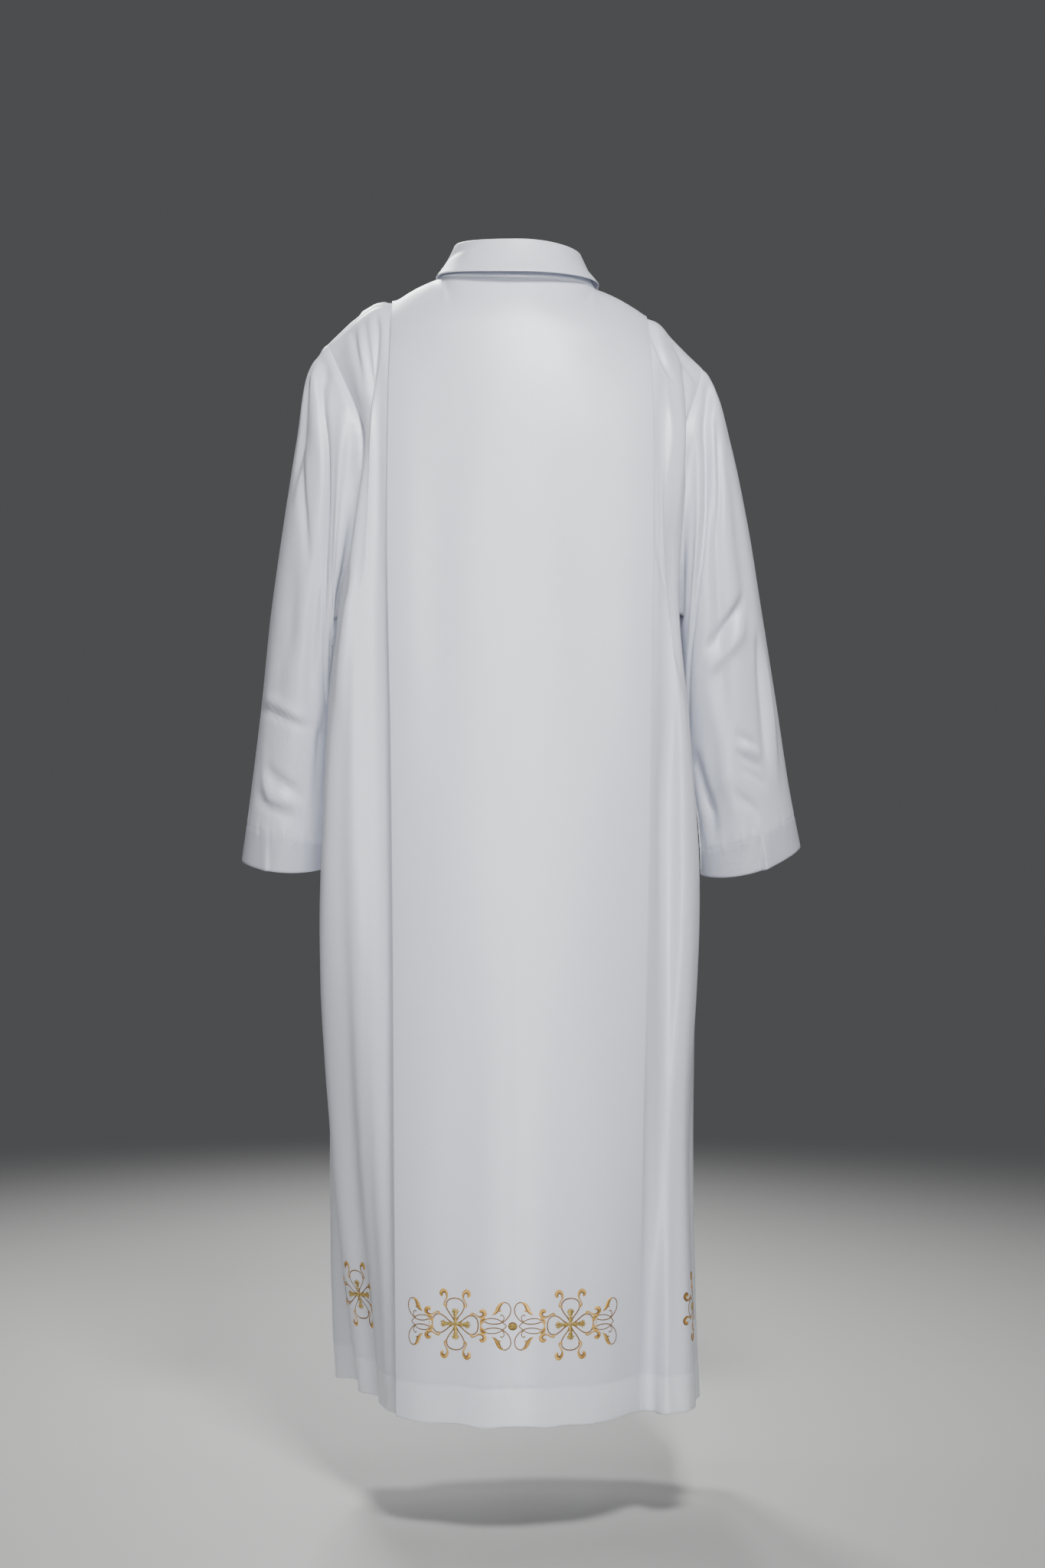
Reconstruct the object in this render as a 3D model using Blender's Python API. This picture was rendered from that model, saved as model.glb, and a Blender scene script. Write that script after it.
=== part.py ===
"""Alb robe in its worn, hollow form: a long white robe with a fold-over collar, set-in sleeves and two
long pleats, sewn into each shoulder seam, on the back and on the front.

Frame: metres, +Z up, +X to the left sleeve, +Y to the back of the robe. The origin is at the middle of
the neck opening, at the height of the shoulder seams beside the neck. Each panel is a cloth wall worked out
from level lines: a row of a table is one level line, and its named columns are places along it.
"""

import math
from collections import namedtuple

import bpy
import numpy as np

COLLECTION = "alb_robe"
CLOTH_WALL = 0.0012
COLLAR_WALL = 0.0015
SEAM_GAP = 0.0003
SLEEVE_SEAM_GAP = 0.0005

# Neckline: an oval, low at the front. Heights are of the seam that the collar is sewn to.
NECK_HALF_WIDTH = 0.098
NECK_MIDDLE_Y = 0.004
NECK_BACK_DEPTH = 0.071
NECK_FRONT_DEPTH = 0.089
NECK_BACK_Z = -0.002
NECK_FRONT_Z = -0.065
NECK_POINT_Z = {"left": 0.009, "right": -0.005}
NECK_POINT_SHARE = 0.60
NECK_BLEND_SHARE = 0.48

# Pleats: three layers of cloth, one lying on the next, folded over at this radius.
PLEAT_DEPTH = 0.055
FOLD_RADIUS = 0.0011
PLEAT_HALF_WIDTH = 0.16
FOLD_ANGLES = (math.radians(60.0), math.radians(120.0))

# How a level line rounds off from its middle to the pleat, and droops from the pleat to the edge.
PANEL_ROUNDING = 2.2
SHOULDER_DROOP = {"left": 2.0, "right": 1.2}
SHOULDER_RISE = 0.004
SIDE_STATIONS = (0.0, 0.15, 0.5, 0.8, 1.0)

HEM_Z = -1.409
UNDERARM_LEVEL = 6

# Step over which a slope is taken, and the limits of a seam's mitre and of a sleeve's first step.
SLOPE_STEP = 0.002
SEAM_LEAST_ANGLE = 0.2
MITRE_LIMIT = 0.004
SLEEVE_LEAST_ANGLE = 0.15
SLEEVE_LEAST_SINE = 0.22
UNDERARM_REACH = 0.02

Centre = namedtuple("Centre", "y z")
Quarter = namedtuple(
    "Quarter", "pleat_x pleat_y pleat_z hollow_x hollow_y crest_x crest_y flank_x flank_y"
)
Edge = namedtuple("Edge", "x y z")

# Distance down the middle of the back from the neckline to each level line.
LEVELS = (0.0, 0.05, 0.107, 0.188, 0.278, 0.358, 0.428, 0.568, 0.758, 1.108, 1.417)

CENTRE_BACK = (
    Centre(0.075, NECK_BACK_Z),
    Centre(0.098, -0.045),
    Centre(0.115, -0.100),
    Centre(0.130, -0.180),
    Centre(0.139, -0.270),
    Centre(0.144, -0.350),
    Centre(0.146, -0.420),
    Centre(0.149, -0.560),
    Centre(0.155, -0.750),
    Centre(0.168, -1.100),
    Centre(0.180, HEM_Z),
)
CENTRE_FRONT = (
    Centre(-0.085, NECK_FRONT_Z),
    Centre(-0.094, -0.090),
    Centre(-0.112, -0.125),
    Centre(-0.135, -0.195),
    Centre(-0.147, -0.272),
    Centre(-0.152, -0.350),
    Centre(-0.156, -0.420),
    Centre(-0.166, -0.560),
    Centre(-0.184, -0.750),
    Centre(-0.222, -1.100),
    Centre(-0.262, HEM_Z),
)

BACK_LEFT = (
    Quarter(0.1597, 0.004, -0.0239, 0.172, 0.0030, 0.197, 0.000, 0.2200, -0.003),
    Quarter(0.1600, 0.045, -0.0560, 0.171, 0.0400, 0.194, 0.034, 0.2150, 0.022),
    Quarter(0.1600, 0.075, -0.1050, 0.169, 0.0680, 0.188, 0.064, 0.2030, 0.050),
    Quarter(0.1604, 0.100, -0.1800, 0.169, 0.0910, 0.184, 0.093, 0.1900, 0.076),
    Quarter(0.1605, 0.114, -0.2700, 0.169, 0.1030, 0.187, 0.107, 0.1965, 0.088),
    Quarter(0.1604, 0.122, -0.3500, 0.169, 0.1100, 0.192, 0.111, 0.2080, 0.086),
    Quarter(0.1590, 0.126, -0.4200, 0.169, 0.1130, 0.200, 0.110, 0.2190, 0.080),
    Quarter(0.1560, 0.128, -0.5600, 0.169, 0.1140, 0.209, 0.107, 0.2355, 0.070),
    Quarter(0.1537, 0.129, -0.7500, 0.168, 0.1120, 0.214, 0.103, 0.2450, 0.055),
    Quarter(0.1515, 0.130, -1.1000, 0.166, 0.1050, 0.210, 0.060, 0.2415, -0.030),
    Quarter(0.1490, 0.122, HEM_Z, 0.162, 0.0800, 0.196, -0.019, 0.2335, -0.115),
)
BACK_RIGHT = (
    Quarter(-0.1646, 0.004, -0.0394, -0.176, 0.0030, -0.197, 0.000, -0.2190, -0.003),
    Quarter(-0.1658, 0.040, -0.0680, -0.176, 0.0370, -0.196, 0.034, -0.2160, 0.020),
    Quarter(-0.1670, 0.072, -0.1120, -0.176, 0.0670, -0.195, 0.062, -0.2120, 0.044),
    Quarter(-0.1680, 0.098, -0.1800, -0.176, 0.0900, -0.196, 0.086, -0.2125, 0.062),
    Quarter(-0.1680, 0.112, -0.2700, -0.175, 0.1060, -0.190, 0.099, -0.2095, 0.066),
    Quarter(-0.1670, 0.120, -0.3500, -0.176, 0.1140, -0.188, 0.106, -0.2030, 0.060),
    Quarter(-0.1658, 0.124, -0.4200, -0.178, 0.1150, -0.195, 0.108, -0.2020, 0.062),
    Quarter(-0.1640, 0.127, -0.5600, -0.180, 0.1130, -0.206, 0.102, -0.2145, 0.060),
    Quarter(-0.1615, 0.128, -0.7500, -0.179, 0.1110, -0.208, 0.098, -0.2290, 0.050),
    Quarter(-0.1540, 0.125, -1.1000, -0.168, 0.1050, -0.194, 0.093, -0.2185, 0.040),
    Quarter(-0.1506, 0.100, HEM_Z, -0.163, 0.0920, -0.188, 0.1080, -0.2250, 0.062),
)
FRONT_LEFT = (
    BACK_LEFT[0],
    Quarter(0.1600, -0.022, -0.0155, 0.171, -0.023, 0.196, -0.025, 0.220, -0.026),
    Quarter(0.1600, -0.055, -0.0450, 0.170, -0.054, 0.192, -0.056, 0.215, -0.052),
    Quarter(0.1595, -0.090, -0.1200, 0.168, -0.086, 0.183, -0.086, 0.198, -0.083),
    Quarter(0.1580, -0.112, -0.2400, 0.166, -0.107, 0.178, -0.105, 0.188, -0.099),
    Quarter(0.1570, -0.120, -0.3400, 0.165, -0.115, 0.183, -0.113, 0.197, -0.100),
    Quarter(0.1560, -0.126, -0.4200, 0.165, -0.121, 0.188, -0.118, 0.209, -0.098),
    Quarter(0.1550, -0.136, -0.5600, 0.165, -0.130, 0.194, -0.124, 0.216, -0.098),
    Quarter(0.1550, -0.154, -0.7500, 0.166, -0.146, 0.198, -0.136, 0.220, -0.104),
    Quarter(0.1550, -0.190, -1.1000, 0.168, -0.178, 0.203, -0.170, 0.228, -0.138),
    Quarter(0.1550, -0.232, HEM_Z, 0.169, -0.220, 0.206, -0.215, 0.226, -0.190),
)
FRONT_RIGHT = (
    BACK_RIGHT[0],
    Quarter(-0.1650, -0.022, -0.0405, -0.176, -0.023, -0.198, -0.025, -0.218, -0.026),
    Quarter(-0.1645, -0.055, -0.0660, -0.175, -0.054, -0.196, -0.056, -0.214, -0.052),
    Quarter(-0.1630, -0.090, -0.1300, -0.172, -0.086, -0.186, -0.086, -0.198, -0.082),
    Quarter(-0.1610, -0.112, -0.2400, -0.169, -0.107, -0.180, -0.105, -0.190, -0.097),
    Quarter(-0.1590, -0.120, -0.3400, -0.167, -0.115, -0.183, -0.112, -0.195, -0.098),
    Quarter(-0.1570, -0.126, -0.4200, -0.166, -0.121, -0.186, -0.117, -0.202, -0.094),
    Quarter(-0.1560, -0.136, -0.5600, -0.166, -0.130, -0.190, -0.123, -0.208, -0.096),
    Quarter(-0.1550, -0.154, -0.7500, -0.166, -0.146, -0.194, -0.136, -0.214, -0.102),
    Quarter(-0.1550, -0.190, -1.1000, -0.168, -0.178, -0.200, -0.168, -0.221, -0.125),
    Quarter(-0.1550, -0.232, HEM_Z, -0.169, -0.220, -0.203, -0.212, -0.226, -0.160),
)

SIDE_LEFT = (
    Edge(0.228, -0.020, -0.420),
    Edge(0.226, -0.030, -0.560),
    Edge(0.225, -0.045, -0.750),
    Edge(0.232, -0.090, -1.100),
    Edge(0.228, -0.150, HEM_Z),
)
SIDE_RIGHT = (
    Edge(-0.205, -0.020, -0.415),
    Edge(-0.208, -0.030, -0.560),
    Edge(-0.212, -0.040, -0.750),
    Edge(-0.218, -0.050, -1.100),
    Edge(-0.222, -0.040, HEM_Z),
)
ARMHOLE_BACK_LEFT = (
    Edge(0.240, -0.005, -0.075),
    Edge(0.229, 0.010, -0.100),
    Edge(0.213, 0.032, -0.135),
    Edge(0.192, 0.052, -0.190),
    Edge(0.188, 0.052, -0.270),
    Edge(0.203, 0.025, -0.350),
)
ARMHOLE_BACK_RIGHT = (
    Edge(-0.235, -0.005, -0.104),
    Edge(-0.229, 0.010, -0.128),
    Edge(-0.216, 0.034, -0.165),
    Edge(-0.202, 0.044, -0.215),
    Edge(-0.194, 0.042, -0.280),
    Edge(-0.196, 0.018, -0.350),
)
ARMHOLE_FRONT_LEFT = (
    ARMHOLE_BACK_LEFT[0],
    Edge(0.239, -0.026, -0.070),
    Edge(0.234, -0.046, -0.105),
    Edge(0.210, -0.074, -0.180),
    Edge(0.193, -0.086, -0.270),
    Edge(0.205, -0.066, -0.350),
)
ARMHOLE_FRONT_RIGHT = (
    ARMHOLE_BACK_RIGHT[0],
    Edge(-0.235, -0.026, -0.111),
    Edge(-0.227, -0.046, -0.140),
    Edge(-0.206, -0.072, -0.195),
    Edge(-0.195, -0.082, -0.275),
    Edge(-0.198, -0.060, -0.350),
)

# Sleeve rings below the armhole. Each ring is an oval through its outer, back, inner and front points.
Ring = namedtuple(
    "Ring", "out_x out_y out_z back_x back_y back_z in_x in_y in_z front_x front_y front_z"
)
SLEEVE_LEFT = (
    Ring(0.266, -0.010, -0.105, 0.220, 0.055, -0.270, 0.240, -0.022, -0.438, 0.213, -0.097, -0.268),
    Ring(0.2815, -0.016, -0.190, 0.236, 0.053, -0.305, 0.240, -0.026, -0.466, 0.236, -0.104, -0.300),
    Ring(0.2985, -0.024, -0.295, 0.257, 0.044, -0.390, 0.243, -0.032, -0.502, 0.256, -0.109, -0.385),
    Ring(0.316, -0.034, -0.412, 0.274, 0.031, -0.478, 0.244, -0.040, -0.550, 0.273, -0.114, -0.475),
    Ring(0.330, -0.046, -0.535, 0.287, 0.016, -0.578, 0.245, -0.049, -0.618, 0.287, -0.118, -0.575),
    Ring(0.345, -0.056, -0.648, 0.297, 0.004, -0.668, 0.247, -0.057, -0.686, 0.297, -0.121, -0.664),
    Ring(0.357, -0.062, -0.731, 0.304, -0.002, -0.745, 0.250, -0.062, -0.741, 0.304, -0.122, -0.739),
)
SLEEVE_RIGHT = (
    Ring(-0.255, -0.010, -0.138, -0.224, 0.043, -0.280, -0.213, -0.022, -0.433, -0.216, -0.093, -0.275),
    Ring(-0.271, -0.016, -0.195, -0.238, 0.046, -0.310, -0.219, -0.026, -0.460, -0.234, -0.102, -0.305),
    Ring(-0.293, -0.024, -0.295, -0.254, 0.043, -0.390, -0.224, -0.032, -0.498, -0.250, -0.109, -0.385),
    Ring(-0.313, -0.034, -0.412, -0.269, 0.031, -0.478, -0.228, -0.040, -0.550, -0.266, -0.114, -0.475),
    Ring(-0.333, -0.046, -0.530, -0.283, 0.017, -0.578, -0.232, -0.049, -0.620, -0.280, -0.118, -0.575),
    Ring(-0.351, -0.056, -0.640, -0.295, 0.004, -0.670, -0.235, -0.057, -0.692, -0.292, -0.121, -0.664),
    Ring(-0.366, -0.062, -0.713, -0.303, -0.004, -0.745, -0.238, -0.064, -0.750, -0.300, -0.122, -0.737),
)

# How far a sleeve stands off before it turns down its rings, and how strongly it leans off the body
# where it would otherwise run along it.
SLEEVE_START = 0.012
SLEEVE_LIFT = 4.0

# Long folds pressed into the sleeves. Turn 0 is outward and 90 is to the back, in degrees.
FOLD_FADE = 0.7
Fold = namedtuple("Fold", "turn_top turn_low start end depth spread")
FOLDS_LEFT = (
    Fold(78.0, 118.0, 0.03, 0.62, 0.0060, 14.0),
    Fold(38.0, 22.0, 0.02, 0.30, 0.0035, 13.0),
    Fold(245.0, 228.0, 0.05, 0.55, 0.0055, 16.0),
)
FOLDS_RIGHT = (
    Fold(70.0, 124.0, 0.02, 0.75, 0.0075, 14.0),
    Fold(40.0, 60.0, 0.15, 0.55, 0.0040, 13.0),
    Fold(250.0, 230.0, 0.05, 0.60, 0.0055, 16.0),
)

# Collar: a stand up to the fold, and a fall from the fold down to its outer edge.
CollarLine = namedtuple("CollarLine", "half_width back_y front_y back_z left_z right_z front_z")
COLLAR_FOLD = CollarLine(0.0785, 0.066, -0.079, 0.0455, 0.0500, 0.0390, -0.030)
COLLAR_EDGE = CollarLine(0.1035, 0.093, -0.112, 0.0030, 0.0130, 0.0035, -0.090)
COLLAR_FOLD_RADIUS = 0.0022
COLLAR_BULGE = -0.0020
COLLAR_ROLL_ANGLES = (math.radians(45.0), math.radians(90.0), math.radians(135.0))
COLLAR_POINT_TURN = 150.0
COLLAR_POINT_DROP = 0.016
COLLAR_POINT_SPREAD = 16.0
COLLAR_POINT_LEAN = 0.3
COLLAR_END_X = 0.0008

# Where the walls are sampled, as distances down the panel and shares across it.
PANEL_ROWS = (
    0.0, 0.022, 0.05, 0.08, 0.107, 0.147, 0.188, 0.233, 0.278, 0.318, 0.358, 0.393, 0.428,
    0.49, 0.568, 0.66, 0.758, 0.92, 1.108, 1.26, 1.417,
)
CENTRE_COLUMNS = (0.0, 0.12, 0.24, 0.36, 0.48, NECK_POINT_SHARE)
SIDE_COLUMNS = (0.08, 0.18, 0.32, 0.48, 0.63, 0.76, 0.88, 1.0)
SLEEVE_STEPS = 17
SLEEVE_STEP_GROWTH = 1.15
COLLAR_COLUMNS = 40
COLLAR_STAND_SHARES = (0.0, 1.0)
COLLAR_FALL_SHARES = (0.0, 0.5, 1.0)

CLOTH_COLOUR = (0.82, 0.83, 0.86, 1.0)
CLOTH_ROUGHNESS = 0.55


def unit(vectors):
    """Vectors of length 1 along the last axis."""
    return vectors / np.maximum(np.linalg.norm(vectors, axis=-1, keepdims=True), 1e-12)


def through(knots, values, places):
    """Smooth curve through values at knots, read at places.

    Between two knots it is a cubic whose end slopes are the mean of the slopes on either side, each
    weighted by the other's span.
    """
    knots = np.asarray(knots, float)
    values = np.asarray(values, float)
    places = np.clip(np.asarray(places, float), knots[0], knots[-1])
    spans = np.diff(knots)
    wide = spans.reshape((-1,) + (1,) * (values.ndim - 1))
    chords = np.diff(values, axis=0) / wide
    slopes = np.empty_like(values)
    slopes[0] = chords[0]
    slopes[-1] = chords[-1]
    slopes[1:-1] = (chords[:-1] * wide[1:] + chords[1:] * wide[:-1]) / (wide[1:] + wide[:-1])
    k = np.clip(np.searchsorted(knots, places, side="right") - 1, 0, len(spans) - 1)
    shape = (-1,) + (1,) * (values.ndim - 1)
    s = ((places - knots[k]) / spans[k]).reshape(shape)
    h = spans[k].reshape(shape)
    start = (1 + 2 * s) * (1 - s) ** 2 * values[k] + s * (1 - s) ** 2 * h * slopes[k]
    finish = s**2 * (3 - 2 * s) * values[k + 1] + s**2 * (s - 1) * h * slopes[k + 1]
    return start + finish


def smooth_share(value, low, high):
    """0 below low, 1 above high, and an easy curve between them."""
    s = np.clip((np.asarray(value, float) - low) / (high - low), 0.0, 1.0)
    return s * s * (3 - 2 * s)


def neckline(side, turn):
    """Point of the neckline at a turn in degrees: 0 at the back, 90 at the shoulder, 180 at the front."""
    sign = 1.0 if side == "left" else -1.0
    angle = np.radians(np.asarray(turn, float))
    behind = np.asarray(turn) <= 90.0
    depth = np.where(behind, NECK_BACK_DEPTH, NECK_FRONT_DEPTH)
    low = np.where(behind, NECK_BACK_Z, NECK_FRONT_Z)
    x = sign * NECK_HALF_WIDTH * np.sin(angle)
    y = NECK_MIDDLE_Y + depth * np.cos(angle)
    z = low + (NECK_POINT_Z[side] - low) * np.sin(angle) ** 2
    return np.stack([x, y, z], axis=-1)


class HalfPanel:
    """One half of the back or of the front: its middle part, its pleat and its side part."""

    def __init__(self, face, side, centre, quarters, edges):
        self.face = face
        self.side = side
        self.centre = centre
        self.quarters = quarters
        self.edges = edges
        self.other = None

    def seam_row(self, shares):
        """Top line of the middle part: the neckline, then the shoulder seam out to the pleat."""
        shares = np.asarray(shares, float)
        turn = 90.0 * np.clip(shares / NECK_POINT_SHARE, 0.0, 1.0)
        if self.face == "front":
            turn = 180.0 - turn
        top = self.quarters[0]
        neck_point = neckline(self.side, 90.0)
        pleat = np.array([top.pleat_x, top.pleat_y, top.pleat_z])
        along = np.clip((shares - NECK_POINT_SHARE) / (1.0 - NECK_POINT_SHARE), 0.0, 1.0)[:, None]
        shoulder = neck_point + (pleat - neck_point) * along
        shoulder[:, 2] += SHOULDER_RISE * 4 * (along * (1.0 - along))[:, 0]
        return np.where(along > 0.0, shoulder, neckline(self.side, turn))

    def level_row(self, level, shares):
        """Level line of the middle part below the seam."""
        shares = np.asarray(shares, float)
        middle = self.centre[level]
        quarter = self.quarters[level]
        x = quarter.pleat_x * shares
        y = middle.y + (quarter.pleat_y - middle.y) * shares**PANEL_ROUNDING
        z = middle.z + (quarter.pleat_z - middle.z) * shares**2
        return np.stack([x, y, z], axis=-1)

    def middle(self, shares, rows):
        """Middle part at shares of its half width and at distances down it."""
        shares = np.asarray(shares, float)
        lines = [self.seam_row(shares)]
        lines += [self.level_row(level, shares) for level in range(1, len(LEVELS))]
        beyond_level = self.other.level_row(1, shares)
        beyond_neck = 2 * lines[0] - lines[1]
        share = smooth_share(shares, NECK_BLEND_SHARE, NECK_POINT_SHARE)[:, None]
        ghost = beyond_neck + (beyond_level - beyond_neck) * share
        return through((-LEVELS[1],) + LEVELS, np.stack([ghost] + lines), rows)

    def frame(self, shares, rows):
        """Outward directions of the middle part, and its slopes from the centre to the pleat."""
        wider = self.middle(np.minimum(shares + SLOPE_STEP, 1.0), rows)
        across = wider - self.middle(np.maximum(shares - SLOPE_STEP, 0.0), rows)
        down = self.middle(shares, rows + SLOPE_STEP) - self.middle(shares, rows - SLOPE_STEP)
        outward = unit(np.cross(across, down))
        turned = (self.face == "back") != (self.side == "left")
        return (-outward if turned else outward), across

    def stations(self):
        """Named places of the side part at each level, from the hollow to the edge."""
        table = []
        for quarter, edge in zip(self.quarters, self.edges):
            drop = edge.z - quarter.pleat_z
            droop = SHOULDER_DROOP[self.side]
            heights = [quarter.pleat_z + drop * share**droop for share in SIDE_STATIONS]
            table.append(
                [
                    (quarter.hollow_x, quarter.hollow_y, heights[1]),
                    (quarter.crest_x, quarter.crest_y, heights[2]),
                    (quarter.flank_x, quarter.flank_y, heights[3]),
                    (edge.x, edge.y, edge.z),
                ]
            )
        return np.array(table)

    def side_part(self, base, shares, rows):
        """Side part from the pleat's bottom layer, which ends on base, out to the edge."""
        own = self.stations()
        beyond = self.other.stations()[1]
        lines = through((-LEVELS[1],) + LEVELS, np.concatenate([beyond[None], own]), rows)
        side_seam = through(LEVELS[UNDERARM_LEVEL:], own[UNDERARM_LEVEL:, -1], rows)
        below = (rows > LEVELS[UNDERARM_LEVEL])[:, None]
        lines[:, -1] = np.where(below, side_seam, lines[:, -1])
        out = []
        for row in range(len(rows)):
            points = np.concatenate([base[row][None], lines[row]])
            out.append(through(SIDE_STATIONS, points, shares))
        return np.array(out)


def face_normals(grid):
    """Unit normals of a grid of points: the cross product of its slopes across and down."""
    across = np.gradient(grid, axis=1)
    down = np.gradient(grid, axis=0)
    return unit(np.cross(across, down))


def half_grid(half, rows, centre_columns, side_columns):
    """Points and cloth directions of a half panel, from its middle out to its edge.

    The cloth direction is the way from the middle of the wall to its outer face. Along the pleat it
    turns with the cloth: out on the panel, in on the layer beneath and out on the lowest layer.
    """
    rows = np.asarray(rows, float)
    near = 1.0 - FOLD_RADIUS / PLEAT_HALF_WIDTH
    far = 1.0 - (PLEAT_DEPTH - FOLD_RADIUS) / PLEAT_HALF_WIDTH
    halfway = 0.5 * (near + far)
    shares = np.array(tuple(centre_columns) + (far, halfway, near, 1.0))
    flat = half.middle(shares, rows)
    outward, across = half.frame(shares, rows)
    facing = half.other.frame(shares, rows[:1])[0]
    sewn = len(centre_columns) - 1
    outward[0, sewn:] = unit(outward[0, sewn:] + facing[0, sewn:])
    along = unit(across - outward * np.sum(across * outward, axis=-1, keepdims=True))
    i_far, i_near, i_edge = len(shares) - 4, len(shares) - 2, len(shares) - 1
    points = [flat[:, i] for i in range(i_near + 1)]
    faces = [outward[:, i] for i in range(i_near + 1)]
    r = FOLD_RADIUS
    hub = flat[:, i_near] - r * outward[:, i_near]
    for angle in FOLD_ANGLES:
        ray = math.sin(angle) * along[:, i_near] + math.cos(angle) * outward[:, i_near]
        points.append(hub + r * ray)
        faces.append(ray)
    for i in (i_near, i_near - 1, i_far):
        points.append(flat[:, i] - 2 * r * outward[:, i])
        faces.append(-outward[:, i])
    hub = flat[:, i_far] - 3 * r * outward[:, i_far]
    for angle in FOLD_ANGLES:
        ray = -math.sin(angle) * along[:, i_far] + math.cos(angle) * outward[:, i_far]
        points.append(hub + r * ray)
        faces.append(-ray)
    for i in (i_far, i_near - 1, i_near):
        points.append(flat[:, i] - 4 * r * outward[:, i])
        faces.append(outward[:, i])
    base = flat[:, i_edge] - 4 * r * outward[:, i_edge]
    side_shares = np.array((0.0,) + tuple(side_columns))
    side = half.side_part(base, side_shares, rows)
    side_out = face_normals(side)
    if np.sum(side_out[:, 0] * outward[:, i_edge]) < 0:
        side_out = -side_out
    side_out[:, 0] = unit(side_out[:, 0] + outward[:, i_edge])
    points += [side[:, i] for i in range(len(side_shares))]
    faces += [side_out[:, i] for i in range(len(side_shares))]
    return np.stack(points, axis=1), np.stack(faces, axis=1)


def halves():
    """The four half panels, each knowing the one that it meets at the shoulder."""
    tables = {
        ("back", "left"): (CENTRE_BACK, BACK_LEFT, ARMHOLE_BACK_LEFT + SIDE_LEFT),
        ("back", "right"): (CENTRE_BACK, BACK_RIGHT, ARMHOLE_BACK_RIGHT + SIDE_RIGHT),
        ("front", "left"): (CENTRE_FRONT, FRONT_LEFT, ARMHOLE_FRONT_LEFT + SIDE_LEFT),
        ("front", "right"): (CENTRE_FRONT, FRONT_RIGHT, ARMHOLE_FRONT_RIGHT + SIDE_RIGHT),
    }
    made = {key: HalfPanel(*key, *table) for key, table in tables.items()}
    for (face, side), half in made.items():
        half.other = made[("front" if face == "back" else "back", side)]
    return made


def pulled(edge, inward, angle_cosine):
    """Edge points moved inward, so that two walls that meet at an angle keep the seam's gap."""
    half_angle = 0.5 * np.arccos(np.clip(angle_cosine, -1.0, 1.0))
    mitre = 0.5 * CLOTH_WALL / np.tan(np.maximum(half_angle, SEAM_LEAST_ANGLE))
    return edge + inward * (0.5 * SEAM_GAP + np.minimum(mitre, MITRE_LIMIT))[..., None]


def part_seam(first, second):
    """Moves the edge points of two walls apart along their own surfaces.

    Each argument is a tuple of the edge points, their neighbours inside the wall and their directions.
    """
    way_a = unit(first[1] - first[0])
    way_b = unit(second[1] - second[0])
    cosine = np.sum(way_a * way_b, axis=-1)
    return pulled(first[0], way_a, cosine), pulled(second[0], way_b, cosine)


def body_grids():
    """Points and cloth directions of the four half panels, parted at the shoulders and sides."""
    grids = {}
    for key, half in halves().items():
        grids[key] = list(half_grid(half, PANEL_ROWS, CENTRE_COLUMNS, SIDE_COLUMNS))
    armhole_rows = PANEL_ROWS.index(LEVELS[UNDERARM_LEVEL]) + 1
    first_shoulder = len(CENTRE_COLUMNS) - 1
    loops = {}
    for side in ("left", "right"):
        back, back_out = grids[("back", side)]
        front, front_out = grids[("front", side)]
        loops[side] = armhole_loop(back, back_out, front, front_out, armhole_rows)
        shared = unit(back_out[0, first_shoulder:] + front_out[0, first_shoulder:])
        for out in (back_out, front_out):
            stand_on_seam(out, shared, first_shoulder)
        seam = slice(first_shoulder, None)
        back[0, seam], front[0, seam] = part_seam(
            (back[0, seam], back[1, seam]), (front[0, seam], front[1, seam])
        )
        low = slice(armhole_rows - 1, None)
        back[low, -1], front[low, -1] = part_seam(
            (back[low, -1], back[low, -2]), (front[low, -1], front[low, -2])
        )
    return grids, loops


def stand_on_seam(out, shared, first):
    """Turns the top row of cloth directions, from a column on, to the shoulder seam's shared one."""
    turned = np.sum(out[0, first:] * shared, axis=-1, keepdims=True) < 0
    out[0, first:] = np.where(turned, -shared, shared)


def armhole_loop(back, back_out, front, front_out, rows):
    """Armhole points from the shoulder down the back and up the front.

    With each point go the body's cloth direction and its neighbour inside the panel.
    """
    points = np.concatenate([back[:rows, -1], front[rows - 2 : 0 : -1, -1]])
    out = np.concatenate([back_out[:rows, -1], front_out[rows - 2 : 0 : -1, -1]])
    inner = np.concatenate([back[:rows, -2], front[rows - 2 : 0 : -1, -2]])
    out[0] = unit(back_out[0, -1] + front_out[0, -1])
    inner[rows - 1] = points[rows - 1] + np.array([0.0, 0.0, -UNDERARM_REACH])
    out[rows - 1] = unit(back_out[rows - 1, -1] + front_out[rows - 1, -1])
    return points, out, inner


def ring_point(ring, angle):
    """Oval through a ring's four named points: its mean, two cosine parts and a small square part."""
    outer = np.array([ring.out_x, ring.out_y, ring.out_z])
    back = np.array([ring.back_x, ring.back_y, ring.back_z])
    inner = np.array([ring.in_x, ring.in_y, ring.in_z])
    front = np.array([ring.front_x, ring.front_y, ring.front_z])
    mean = (outer + back + inner + front) / 4
    square = (outer + inner - back - front) / 4
    angle = angle[:, None]
    return (
        mean
        + 0.5 * (outer - inner) * np.cos(angle)
        + 0.5 * (back - front) * np.sin(angle)
        + square * np.cos(2 * angle)
    )


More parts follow.
